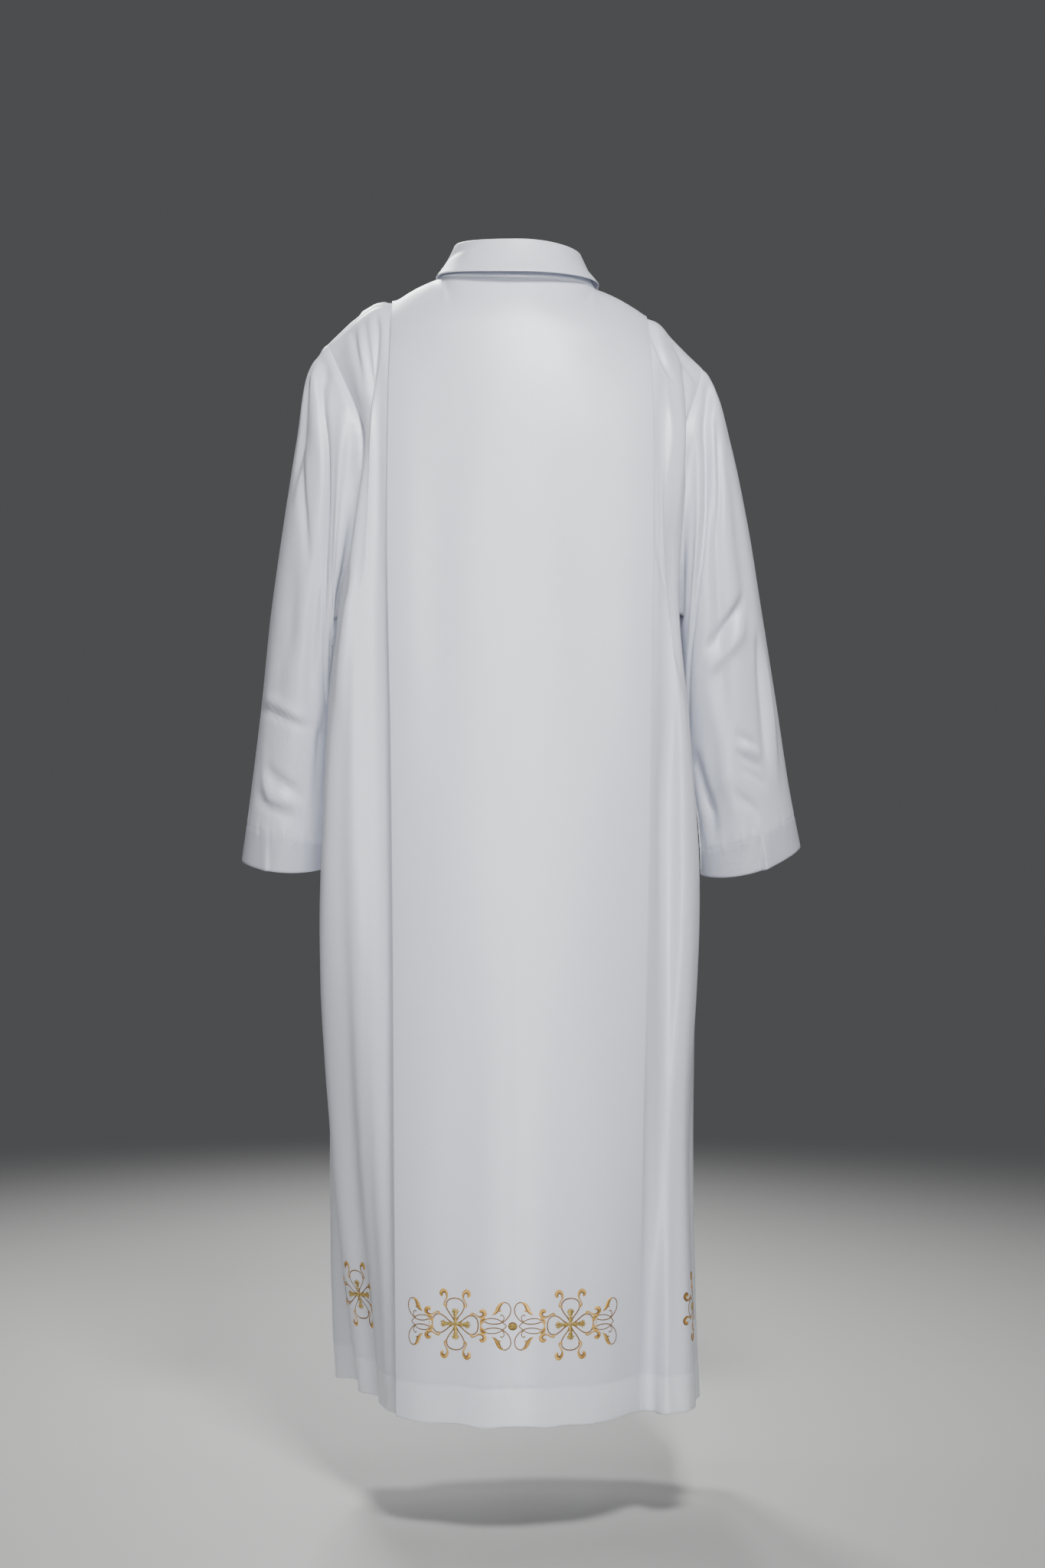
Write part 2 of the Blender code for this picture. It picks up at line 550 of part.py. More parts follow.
def sleeve_grid(loop, rings, folds, steps):
    """Points and cloth directions of a sleeve.

    Rows run from the armhole to the cuff, and columns go round. Each column leaves the body square to
    the seam, by the mitre that two walls at that angle need, and runs on through its ring points.
    """
    seam, body_out, body_inner = loop
    count = len(seam)
    reach = np.linalg.norm(np.diff(np.concatenate([seam, seam[:1]]), axis=0), axis=-1)
    half = count // 2
    behind = np.concatenate([[0.0], np.cumsum(reach[:half])])
    before = np.concatenate([[0.0], np.cumsum(reach[half:])])
    turn = math.pi * np.concatenate([behind[:-1] / behind[-1], 1 + before[:-1] / before[-1]])
    lower = [ring_point(ring, turn) for ring in rings]
    tangent = unit(np.roll(seam, -1, axis=0) - np.roll(seam, 1, axis=0))
    into = np.cross(body_out, tangent)
    into = unit(into * np.sign(np.sum(into * (body_inner - seam), axis=-1, keepdims=True)))
    leave = square_to(lower[0] - seam, tangent)
    lift = np.clip(np.sum(into * leave, axis=-1, keepdims=True), 0.0, 1.0)
    leave = square_to(leave + SLEEVE_LIFT * lift * body_out, tangent)
    cosine = np.sum(into * leave, axis=-1)
    sine = np.maximum(np.sqrt(1.0 - np.maximum(cosine, 0.0) ** 2), SLEEVE_LEAST_SINE)
    half_angle = np.maximum(0.5 * np.arccos(np.clip(cosine, -1.0, 1.0)), SLEEVE_LEAST_ANGLE)
    mitre = 0.5 * CLOTH_WALL / np.tan(half_angle)
    start = seam + leave * (mitre + SLEEVE_SEAM_GAP / sine)[:, None]
    lines = np.stack([start, start + SLEEVE_START * leave] + lower)
    spans = np.linalg.norm(np.diff(lines, axis=0), axis=-1).mean(axis=1)
    knots = np.concatenate([[0.0], np.cumsum(spans)]) / spans.sum()
    down = np.linspace(0.0, 1.0, steps + 1) ** SLEEVE_STEP_GROWTH
    grid = through(knots, lines, down)
    out = closed_normals(grid)
    degrees = np.degrees(turn)
    press = np.zeros((len(down), count))
    for fold in folds:
        along = np.clip((down - fold.start) / (fold.end - fold.start), 0.0, 1.0)
        centre = fold.turn_top + (fold.turn_low - fold.turn_top) * along
        away = (degrees[None, :] - centre[:, None] + 180.0) % 360.0 - 180.0
        fade = np.sin(math.pi * along) ** FOLD_FADE
        press += fold.depth * fade[:, None] * np.exp(-((away / fold.spread) ** 2))
    grid = grid - out * press[..., None]
    return grid, closed_normals(grid)


def square_to(vectors, axis):
    """Unit vectors with their part along an axis taken out."""
    return unit(vectors - axis * np.sum(vectors * axis, axis=-1, keepdims=True))


def closed_normals(grid):
    """Outward normals of a tube of rings, pointing away from each ring's middle."""
    around = np.roll(grid, -1, axis=1) - np.roll(grid, 1, axis=1)
    down = np.gradient(grid, axis=0)
    out = unit(np.cross(around, down))
    away = grid - grid.mean(axis=1, keepdims=True)
    if np.sum(out * away) < 0:
        out = -out
    return out


def collar_line(line, turn):
    """Line round the neck: an oval whose height changes from the back, by the sides, to the front.

    The turn runs from -180 to 180 degrees, with 0 at the back and the left side at 90.
    """
    angle = np.radians(turn)
    middle = 0.5 * (line.back_y + line.front_y)
    reach = 0.5 * (line.back_y - line.front_y)
    side_z = np.where(turn >= 0.0, line.left_z, line.right_z)
    end_z = np.where(np.abs(turn) <= 90.0, line.back_z, line.front_z)
    z = end_z + (side_z - end_z) * np.sin(angle) ** 2
    return np.stack([line.half_width * np.sin(angle), middle + reach * np.cos(angle), z], axis=-1)


def collar_grid():
    """Points and cloth directions of the collar.

    Rows go round the neck and columns cross the collar. Its foot runs on chords between every other
    point of the neckline, as the body's own edge does. Its points drop and lean at the front.
    """
    turn = np.linspace(-180.0, 180.0, COLLAR_COLUMNS + 1)
    left = neckline("left", np.abs(turn))
    right = neckline("right", np.abs(turn))
    base = np.where((turn >= 0.0)[:, None], left, right)
    base[1::2] = 0.5 * (base[:-1:2] + base[2::2])
    crease = collar_line(COLLAR_FOLD, turn)
    edge = collar_line(COLLAR_EDGE, turn)
    away = (np.abs(turn) - COLLAR_POINT_TURN) / COLLAR_POINT_SPREAD
    drop = COLLAR_POINT_DROP * np.exp(-(away**2))
    edge[:, 2] -= drop
    edge[:, 1] -= COLLAR_POINT_LEAN * drop
    outward = crease - crease.mean(axis=0)
    outward[:, 2] = 0.0
    outward = unit(outward)
    up = np.array([0.0, 0.0, 1.0])
    r = COLLAR_FOLD_RADIUS
    foot = base + unit(crease - base) * (SEAM_GAP + 0.5 * CLOTH_WALL)
    head = crease - r * outward
    columns = [foot + (head - foot) * share for share in COLLAR_STAND_SHARES]
    for angle in COLLAR_ROLL_ANGLES:
        columns.append(crease + r * (-math.cos(angle) * outward + math.sin(angle) * up))
    top = crease + r * outward
    for share in COLLAR_FALL_SHARES:
        bulge = COLLAR_BULGE * math.sin(math.pi * share)
        columns.append(top + (edge - top) * share + bulge * outward)
    grid = np.stack(columns, axis=1)
    grid[0, :, 0] = -COLLAR_END_X
    grid[-1, :, 0] = COLLAR_END_X
    out = face_normals(grid)
    if np.sum(out[:, -1] * outward) < 0:
        out = -out
    return grid, out


def wall_mesh(name, grid, out, wall, closed=False):
    """Closed wall of cloth: an outer and an inner face of the grid, joined along its free edges.

    Every cell is cut along the same diagonal on both faces, so a twisted cell keeps its thickness. On
    an open panel the diagonal runs down and away from the middle, so a pleat's layers match too.
    """
    rows, columns = grid.shape[:2]
    outer = grid + out * wall / 2
    inner = grid - out * wall / 2
    points = np.concatenate([outer.reshape(-1, 3), inner.reshape(-1, 3)])
    index = np.arange(rows * columns).reshape(rows, columns)
    if closed:
        index = np.concatenate([index, index[:, :1]], axis=1)
        outward = np.ones((rows - 1, columns), bool)
    else:
        outward = np.diff(np.abs(grid[..., 0]), axis=1)[:-1] >= 0.0
    under = index + rows * columns
    parts = [cells(index, outward), cells(under, outward)[:, ::-1]]
    parts.append(strip(index[0], under[0]))
    parts.append(strip(under[-1], index[-1]))
    if not closed:
        parts.append(strip(under[:, 0], index[:, 0]))
        parts.append(strip(index[:, -1], under[:, -1]))
    faces = np.concatenate(parts)
    if flipped(points, faces):
        faces = faces[:, ::-1]
    mesh = bpy.data.meshes.new(name)
    mesh.from_pydata(points.tolist(), [], faces.tolist())
    mesh.validate()
    mesh.update()
    return mesh


def cells(index, outward):
    """Triangles between the neighbouring points of a grid of indices.

    Where outward is true a cell's diagonal runs from its first corner, or else from its second.
    """
    a, b, c, d = index[:-1, :-1], index[1:, :-1], index[1:, 1:], index[:-1, 1:]
    first = np.where(outward[..., None], np.stack([a, b, c], axis=-1), np.stack([a, b, d], axis=-1))
    second = np.where(outward[..., None], np.stack([a, c, d], axis=-1), np.stack([b, c, d], axis=-1))
    return np.concatenate([first, second]).reshape(-1, 3)


def strip(first, second):
    """Triangles between two lines of indices."""
    near = np.stack([first[:-1], first[1:], second[1:]], axis=-1)
    far = np.stack([first[:-1], second[1:], second[:-1]], axis=-1)
    return np.concatenate([near, far])


def flipped(points, faces):
    """True where the faces enclose a negative volume."""
    a, b, c = (points[faces[:, i]] for i in range(3))
    return np.sum(a * np.cross(b, c)) < 0


def cloth_material(name):
    """White satin-weave cloth for one piece."""
    material = bpy.data.materials.new(name)
    material.use_nodes = True
    shader = material.node_tree.nodes["Principled BSDF"]
    shader.inputs["Base Color"].default_value = CLOTH_COLOUR
    shader.inputs["Roughness"].default_value = CLOTH_ROUGHNESS
    shader.inputs["Metallic"].default_value = 0.0
    return material


def add_piece(collection, name, mesh):
    """Adds a finished mesh as a named object with its own material."""
    mesh.materials.append(cloth_material(name + "_cloth"))
    mesh.shade_smooth()
    piece = bpy.data.objects.new(name, mesh)
    collection.objects.link(piece)
    return piece


def clear_scene():
    """Removes every object that the scene starts with."""
    for thing in list(bpy.data.objects):
        bpy.data.objects.remove(thing, do_unlink=True)


def build():
    """Builds the six pieces of the robe in their own collection."""
    clear_scene()
    collection = bpy.data.collections.new(COLLECTION)
    bpy.context.scene.collection.children.link(collection)
    grids, loops = body_grids()
    left, left_out = grids[("back", "left")]
    right, right_out = grids[("back", "right")]
    back = np.concatenate([left[:, ::-1], right[:, 1:]], axis=1)
    back_out = np.concatenate([left_out[:, ::-1], right_out[:, 1:]], axis=1)
    add_piece(collection, "back", wall_mesh("back", back, back_out, CLOTH_WALL))
    for side, sign in (("left", 1.0), ("right", -1.0)):
        grid, out = grids[("front", side)]
        grid[:, 0, 0] = sign * SEAM_GAP / 2
        out[:, 0, 0] = 0.0
        out[:, 0] = unit(out[:, 0])
        name = "front_" + side
        add_piece(collection, name, wall_mesh(name, grid, out, CLOTH_WALL))

    sleeves = (("left", SLEEVE_LEFT, FOLDS_LEFT), ("right", SLEEVE_RIGHT, FOLDS_RIGHT))
    for side, rings, folds in sleeves:
        grid, out = sleeve_grid(loops[side], rings, folds, SLEEVE_STEPS)
        name = "sleeve_" + side
        add_piece(collection, name, wall_mesh(name, grid, out, CLOTH_WALL, closed=True))

    grid, out = collar_grid()
    add_piece(collection, "collar", wall_mesh("collar", grid, out, COLLAR_WALL))


build()
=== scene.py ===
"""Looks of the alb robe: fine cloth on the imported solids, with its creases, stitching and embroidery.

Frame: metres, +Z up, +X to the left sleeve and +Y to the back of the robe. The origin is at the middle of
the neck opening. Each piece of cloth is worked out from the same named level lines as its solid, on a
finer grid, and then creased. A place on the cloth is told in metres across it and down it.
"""

import logging
import math
from dataclasses import dataclass, field
from enum import Enum
from typing import Any, Sequence

import bpy
import numpy as np
from mathutils import Matrix, Vector


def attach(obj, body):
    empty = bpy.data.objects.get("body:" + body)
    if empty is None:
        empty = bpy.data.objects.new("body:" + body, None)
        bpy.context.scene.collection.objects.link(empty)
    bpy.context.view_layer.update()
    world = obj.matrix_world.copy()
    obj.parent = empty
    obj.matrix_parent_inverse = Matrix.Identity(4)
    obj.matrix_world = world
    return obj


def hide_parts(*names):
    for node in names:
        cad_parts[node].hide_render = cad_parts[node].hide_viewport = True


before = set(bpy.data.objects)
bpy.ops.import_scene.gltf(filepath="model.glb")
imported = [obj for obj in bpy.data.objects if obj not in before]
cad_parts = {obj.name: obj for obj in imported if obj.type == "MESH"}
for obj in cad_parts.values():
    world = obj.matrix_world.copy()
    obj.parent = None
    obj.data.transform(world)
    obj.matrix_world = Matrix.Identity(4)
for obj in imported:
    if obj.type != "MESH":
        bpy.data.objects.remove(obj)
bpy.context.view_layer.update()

Array = np.ndarray
Place = tuple[float, float, float]
Colour = tuple[float, float, float, float]
Line = tuple[tuple[float, ...], ...]
LOG = logging.getLogger("alb_robe")

BODY = "root"
UV_NAME = "cloth"
DOUBLE = "double_cloth"
MILLIMETRES = 1000

CLOTH_WALL = 0.0006
SOLID_WALL = 0.0012
COLLAR_WALL = 0.0013
HEM_EXTRA = 0.0005
SEAM_GAP = 0.0001
SLEEVE_SEAM_GAP = 0.0003
LEAST_HALF_ANGLE = 0.2
MOST_MITRE = 0.004
TUCK_RADIUS = 0.0004
TUCK_DEPTH = 0.0010
TUCK_TURNS = (30.0, 60.0, 90.0)
TUCK_COLUMNS = len(TUCK_TURNS) + 1

NECK_HALF_WIDTH = 0.098
NECK_MIDDLE_Y = 0.004
NECK_BACK_DEPTH = 0.071
NECK_FRONT_DEPTH = 0.089
NECK_BACK_Z = -0.002
NECK_FRONT_Z = -0.065
NECK_POINT_SHARE = 0.60
PLEAT_DEPTH = 0.055
PLEAT_HALF_WIDTH = 0.16
PLEAT_COLUMNS = 6
PLEAT_ARC = 6
PANEL_ROUNDING = 2.2
SHOULDER_RISE = 0.004
SIDE_STATIONS = (0.0, 0.15, 0.5, 0.8, 1.0)
HEM_Z = -1.409
HEM_DOWN = 1.417
HEM_LINE = 1.371
FLOOR_Z = -1.556
UNDERARM_LEVEL = 6
LEVELS = (0.0, 0.05, 0.107, 0.188, 0.278, 0.358, 0.428, 0.568, 0.758, 1.108, HEM_DOWN)
SLEEVE_START = 0.012
SLEEVE_LIFT = 4.0
CUFF_LINE = 0.922
SLEEVE_LENGTH = 0.56

# Uneven wave: each sine's share of the height, its turn in radians for each metre and its part of the seed.
RIPPLES = ((0.42, 410.0, 1.0), (0.30, 263.0, 2.1), (0.18, 697.0, 3.7), (0.10, 131.0, 0.7))

# Sewn lines: the puckers' height and their spread on the single and the double cloth, and the groove.
PUCKER_HEIGHT = 0.00060
PUCKER_SINGLE = 0.012
PUCKER_DOUBLE = 0.008
GROOVE_DEPTH = 0.00065
GROOVE_SPREAD = 0.0018

# Seams: the height of the puckers beside them, which is reached at a distance from the seam.
SEAM_PUCKER = 0.00030
SEAM_EASE = 0.004

# The hem's long wave: its height, its stretch and how far above the stitches it starts.
HEM_WAVE = 0.0024
HEM_STRETCH = 0.22
HEM_START = 0.09

# Where creases grow from nothing to their height: below the top seam, beside the pleat and at the edge.
TOP_EASE = (0.004, 0.03)
PLEAT_EASE = (0.0004, 0.0040)
EDGE_EASE = (0.002, 0.014)

# The hollow beside a pleat: where it falls in and comes out across the panel, where it starts and ends down
# it, and how far the pleat's dip reaches.
HOLLOW_IN = (0.002, 0.028)
HOLLOW_OUT = (0.034, 0.056)
HOLLOW_START = (0.05, 0.14)
HOLLOW_END = (0.7, 1.1)
DIP_REACH = 0.0045

# The doubled cloth of a cuff, a little greyer than the sleeve: painted shade of the cuff that curves in under
# the light from above.
CUFF_PAINTED_SHADE = (0.545, 0.565, 0.64, 1.0)


class Side(Enum):
    """Which half of the robe a piece belongs to."""

    LEFT = "left"
    RIGHT = "right"

    @property
    def sign(self) -> float:
        """1 on the left, where X is positive, and -1 on the right."""
        return 1.0 if self is Side.LEFT else -1.0


class Face(Enum):
    """Whether a half panel is at the back or at the front."""

    BACK = "back"
    FRONT = "front"


class Thread(Enum):
    """Thread that a stroke of the embroidery is sewn with."""

    GOLD = "gold"
    # The gold thread's shaded side, painted in dark brown colours: painted shade.
    BRONZE = "bronze"
    ANTIQUE = "antique"


NECK_POINT_Z = {Side.LEFT: 0.009, Side.RIGHT: -0.005}
FOLD_RADIUS = {Side.LEFT: 0.0009, Side.RIGHT: 0.0007}
PLEAT_DIP = {Side.LEFT: 0.0020, Side.RIGHT: 0.0030}
SIDE_FALL = {Side.LEFT: 0.0060, Side.RIGHT: 0.0065}
SHOULDER_DROOP = {Side.LEFT: 2.0, Side.RIGHT: 1.2}

# Columns: y and z of the middle of the panel, at each level.
CENTRE = {
    Face.BACK: np.array(
        (
            (0.075, NECK_BACK_Z), (0.098, -0.045), (0.115, -0.100), (0.130, -0.180), (0.139, -0.270),
            (0.144, -0.350), (0.146, -0.420), (0.149, -0.560), (0.155, -0.750), (0.168, -1.100), (0.180, HEM_Z),
        )
    ),
    Face.FRONT: np.array(
        (
            (-0.085, NECK_FRONT_Z), (-0.094, -0.090), (-0.112, -0.125), (-0.135, -0.195), (-0.147, -0.272),
            (-0.152, -0.350), (-0.156, -0.420), (-0.166, -0.560), (-0.184, -0.750), (-0.222, -1.100),
            (-0.262, HEM_Z),
        )
    ),
}

# Columns: pleat x, y, z, hollow x, y, crest x, y and flank x, y, at each level.
QUARTERS = {
    (Face.BACK, Side.LEFT): np.array(
        (
            (0.1597, 0.004, -0.0239, 0.172, 0.0030, 0.197, 0.000, 0.2200, -0.003),
            (0.1600, 0.045, -0.0560, 0.171, 0.0400, 0.194, 0.034, 0.2150, 0.022),
            (0.1600, 0.075, -0.1050, 0.169, 0.0680, 0.188, 0.064, 0.2030, 0.050),
            (0.1604, 0.100, -0.1800, 0.169, 0.0910, 0.184, 0.093, 0.1900, 0.076),
            (0.1605, 0.114, -0.2700, 0.169, 0.1030, 0.187, 0.107, 0.1965, 0.088),
            (0.1604, 0.122, -0.3500, 0.169, 0.1100, 0.192, 0.111, 0.2080, 0.086),
            (0.1590, 0.126, -0.4200, 0.169, 0.1130, 0.200, 0.110, 0.2190, 0.080),
            (0.1560, 0.128, -0.5600, 0.169, 0.1140, 0.209, 0.107, 0.2355, 0.070),
            (0.1537, 0.129, -0.7500, 0.168, 0.1120, 0.214, 0.103, 0.2450, 0.055),
            (0.1515, 0.130, -1.1000, 0.166, 0.1050, 0.210, 0.060, 0.2415, -0.030),
            (0.1490, 0.122, HEM_Z, 0.162, 0.0800, 0.196, -0.019, 0.2335, -0.115),
        )
    ),
    (Face.BACK, Side.RIGHT): np.array(
        (
            (-0.1646, 0.004, -0.0394, -0.176, 0.0030, -0.197, 0.000, -0.2190, -0.003),
            (-0.1658, 0.040, -0.0680, -0.176, 0.0370, -0.196, 0.034, -0.2160, 0.020),
            (-0.1670, 0.072, -0.1120, -0.176, 0.0670, -0.195, 0.062, -0.2120, 0.044),
            (-0.1680, 0.098, -0.1800, -0.176, 0.0900, -0.196, 0.086, -0.2125, 0.062),
            (-0.1680, 0.112, -0.2700, -0.175, 0.1060, -0.190, 0.099, -0.2095, 0.066),
            (-0.1670, 0.120, -0.3500, -0.176, 0.1140, -0.188, 0.106, -0.2030, 0.060),
            (-0.1658, 0.124, -0.4200, -0.178, 0.1150, -0.195, 0.108, -0.2020, 0.062),
            (-0.1640, 0.127, -0.5600, -0.180, 0.1130, -0.206, 0.102, -0.2145, 0.060),
            (-0.1615, 0.128, -0.7500, -0.179, 0.1110, -0.208, 0.098, -0.2290, 0.050),
            (-0.1540, 0.125, -1.1000, -0.168, 0.1050, -0.194, 0.093, -0.2185, 0.040),
            (-0.1506, 0.100, HEM_Z, -0.163, 0.0920, -0.188, 0.1080, -0.2250, 0.062),
        )
    ),
    (Face.FRONT, Side.LEFT): np.array(
        (
            (0.1597, 0.004, -0.0239, 0.172, 0.0030, 0.197, 0.000, 0.2200, -0.003),
            (0.1600, -0.022, -0.0155, 0.171, -0.023, 0.196, -0.025, 0.220, -0.026),
            (0.1600, -0.055, -0.0450, 0.170, -0.054, 0.192, -0.056, 0.215, -0.052),
            (0.1595, -0.090, -0.1200, 0.168, -0.086, 0.183, -0.086, 0.198, -0.083),
            (0.1580, -0.112, -0.2400, 0.166, -0.107, 0.178, -0.105, 0.188, -0.099),
            (0.1570, -0.120, -0.3400, 0.165, -0.115, 0.183, -0.113, 0.197, -0.100),
            (0.1560, -0.126, -0.4200, 0.165, -0.121, 0.188, -0.118, 0.209, -0.098),
            (0.1550, -0.136, -0.5600, 0.165, -0.130, 0.194, -0.124, 0.216, -0.098),
            (0.1550, -0.154, -0.7500, 0.166, -0.146, 0.198, -0.136, 0.220, -0.104),
            (0.1550, -0.190, -1.1000, 0.168, -0.178, 0.203, -0.170, 0.228, -0.138),
            (0.1550, -0.232, HEM_Z, 0.169, -0.220, 0.206, -0.215, 0.226, -0.190),
        )
    ),
    (Face.FRONT, Side.RIGHT): np.array(
        (
            (-0.1646, 0.004, -0.0394, -0.176, 0.0030, -0.197, 0.000, -0.2190, -0.003),
            (-0.1650, -0.022, -0.0405, -0.176, -0.023, -0.198, -0.025, -0.218, -0.026),
            (-0.1645, -0.055, -0.0660, -0.175, -0.054, -0.196, -0.056, -0.214, -0.052),
            (-0.1630, -0.090, -0.1300, -0.172, -0.086, -0.186, -0.086, -0.198, -0.082),
            (-0.1610, -0.112, -0.2400, -0.169, -0.107, -0.180, -0.105, -0.190, -0.097),
            (-0.1590, -0.120, -0.3400, -0.167, -0.115, -0.183, -0.112, -0.195, -0.098),
            (-0.1570, -0.126, -0.4200, -0.166, -0.121, -0.186, -0.117, -0.202, -0.094),
            (-0.1560, -0.136, -0.5600, -0.166, -0.130, -0.190, -0.123, -0.208, -0.096),
            (-0.1550, -0.154, -0.7500, -0.166, -0.146, -0.194, -0.136, -0.214, -0.102),
            (-0.1550, -0.190, -1.1000, -0.168, -0.178, -0.200, -0.168, -0.221, -0.125),
            (-0.1550, -0.232, HEM_Z, -0.169, -0.220, -0.203, -0.212, -0.226, -0.160),
        )
    ),
}

# Points of the panel's outer edge, at each level: the armhole, and below it the side seam.
SIDE_SEAM = {
    Side.LEFT: (
        (0.228, -0.020, -0.420), (0.226, -0.030, -0.560), (0.225, -0.045, -0.750), (0.232, -0.090, -1.100),
        (0.228, -0.150, HEM_Z),
    ),
    Side.RIGHT: (
        (-0.205, -0.020, -0.415), (-0.208, -0.030, -0.560), (-0.212, -0.040, -0.750), (-0.218, -0.050, -1.100),
        (-0.222, -0.040, HEM_Z),
    ),
}
ARMHOLE = {
    (Face.BACK, Side.LEFT): (
        (0.240, -0.005, -0.075), (0.229, 0.010, -0.100), (0.213, 0.032, -0.135), (0.192, 0.052, -0.190),
        (0.188, 0.052, -0.270), (0.203, 0.025, -0.350),
    ),
    (Face.BACK, Side.RIGHT): (
        (-0.235, -0.005, -0.104), (-0.229, 0.010, -0.128), (-0.216, 0.034, -0.165), (-0.202, 0.044, -0.215),
        (-0.194, 0.042, -0.280), (-0.196, 0.018, -0.350),
    ),
    (Face.FRONT, Side.LEFT): (
        (0.240, -0.005, -0.075), (0.239, -0.026, -0.070), (0.234, -0.046, -0.105), (0.210, -0.074, -0.180),
        (0.193, -0.086, -0.270), (0.205, -0.066, -0.350),
    ),
    (Face.FRONT, Side.RIGHT): (
        (-0.235, -0.005, -0.104), (-0.235, -0.026, -0.111), (-0.227, -0.046, -0.140), (-0.206, -0.072, -0.195),
        (-0.195, -0.082, -0.275), (-0.198, -0.060, -0.350),
    ),
}

# Sleeve rings: the outer, back, inner and front point of each.
RINGS = {
    Side.LEFT: np.array(
        (
            (0.266, -0.010, -0.105, 0.220, 0.055, -0.270, 0.240, -0.022, -0.438, 0.213, -0.097, -0.268),
            (0.2815, -0.016, -0.190, 0.236, 0.053, -0.305, 0.237, -0.026, -0.466, 0.236, -0.104, -0.300),
            (0.2985, -0.024, -0.295, 0.257, 0.044, -0.390, 0.239, -0.032, -0.502, 0.256, -0.109, -0.385),
            (0.316, -0.034, -0.412, 0.274, 0.031, -0.478, 0.241, -0.040, -0.550, 0.273, -0.114, -0.475),
            (0.330, -0.046, -0.535, 0.287, 0.016, -0.578, 0.245, -0.049, -0.618, 0.287, -0.118, -0.575),
            (0.345, -0.056, -0.648, 0.297, 0.004, -0.668, 0.247, -0.057, -0.686, 0.297, -0.121, -0.664),
            (0.357, -0.062, -0.731, 0.304, -0.002, -0.745, 0.250, -0.062, -0.741, 0.304, -0.122, -0.739),
        )
    ),
    Side.RIGHT: np.array(
        (
            (-0.255, -0.010, -0.138, -0.224, 0.043, -0.280, -0.210, -0.022, -0.433, -0.216, -0.093, -0.275),
            (-0.271, -0.016, -0.195, -0.238, 0.046, -0.310, -0.2115, -0.026, -0.460, -0.234, -0.102, -0.305),
            (-0.293, -0.024, -0.295, -0.254, 0.043, -0.390, -0.2135, -0.032, -0.498, -0.250, -0.109, -0.385),
            (-0.313, -0.034, -0.412, -0.269, 0.031, -0.478, -0.2175, -0.040, -0.550, -0.266, -0.114, -0.475),
            (-0.333, -0.046, -0.530, -0.283, 0.017, -0.578, -0.2245, -0.049, -0.620, -0.280, -0.118, -0.575),
            (-0.351, -0.056, -0.640, -0.295, 0.004, -0.670, -0.235, -0.057, -0.692, -0.292, -0.121, -0.664),
            (-0.366, -0.062, -0.713, -0.303, -0.004, -0.745, -0.238, -0.064, -0.750, -0.300, -0.122, -0.737),
        )
    ),
}

# Collar lines: half width, back y, front y, and the heights at the back, left, right and front.
COLLAR_FOLD = (0.0785, 0.066, -0.079, 0.0455, 0.0500, 0.0390, -0.030)
COLLAR_EDGE = (0.1035, 0.093, -0.112, 0.0030, 0.0130, 0.0035, -0.090)


@dataclass(frozen=True)
class Crease:
    """Crease: its line on the cloth, each place with a height, and its half width.

    A negative height is a trough. The line's places are (across, down, height). On a sleeve the first is
    a turn in degrees and the second a share of the length. Upper is the half width on the side where
    across grows, and a narrow one there makes a crisp fold.
    """

    line: Line
    width: float
    upper: float = 0.0


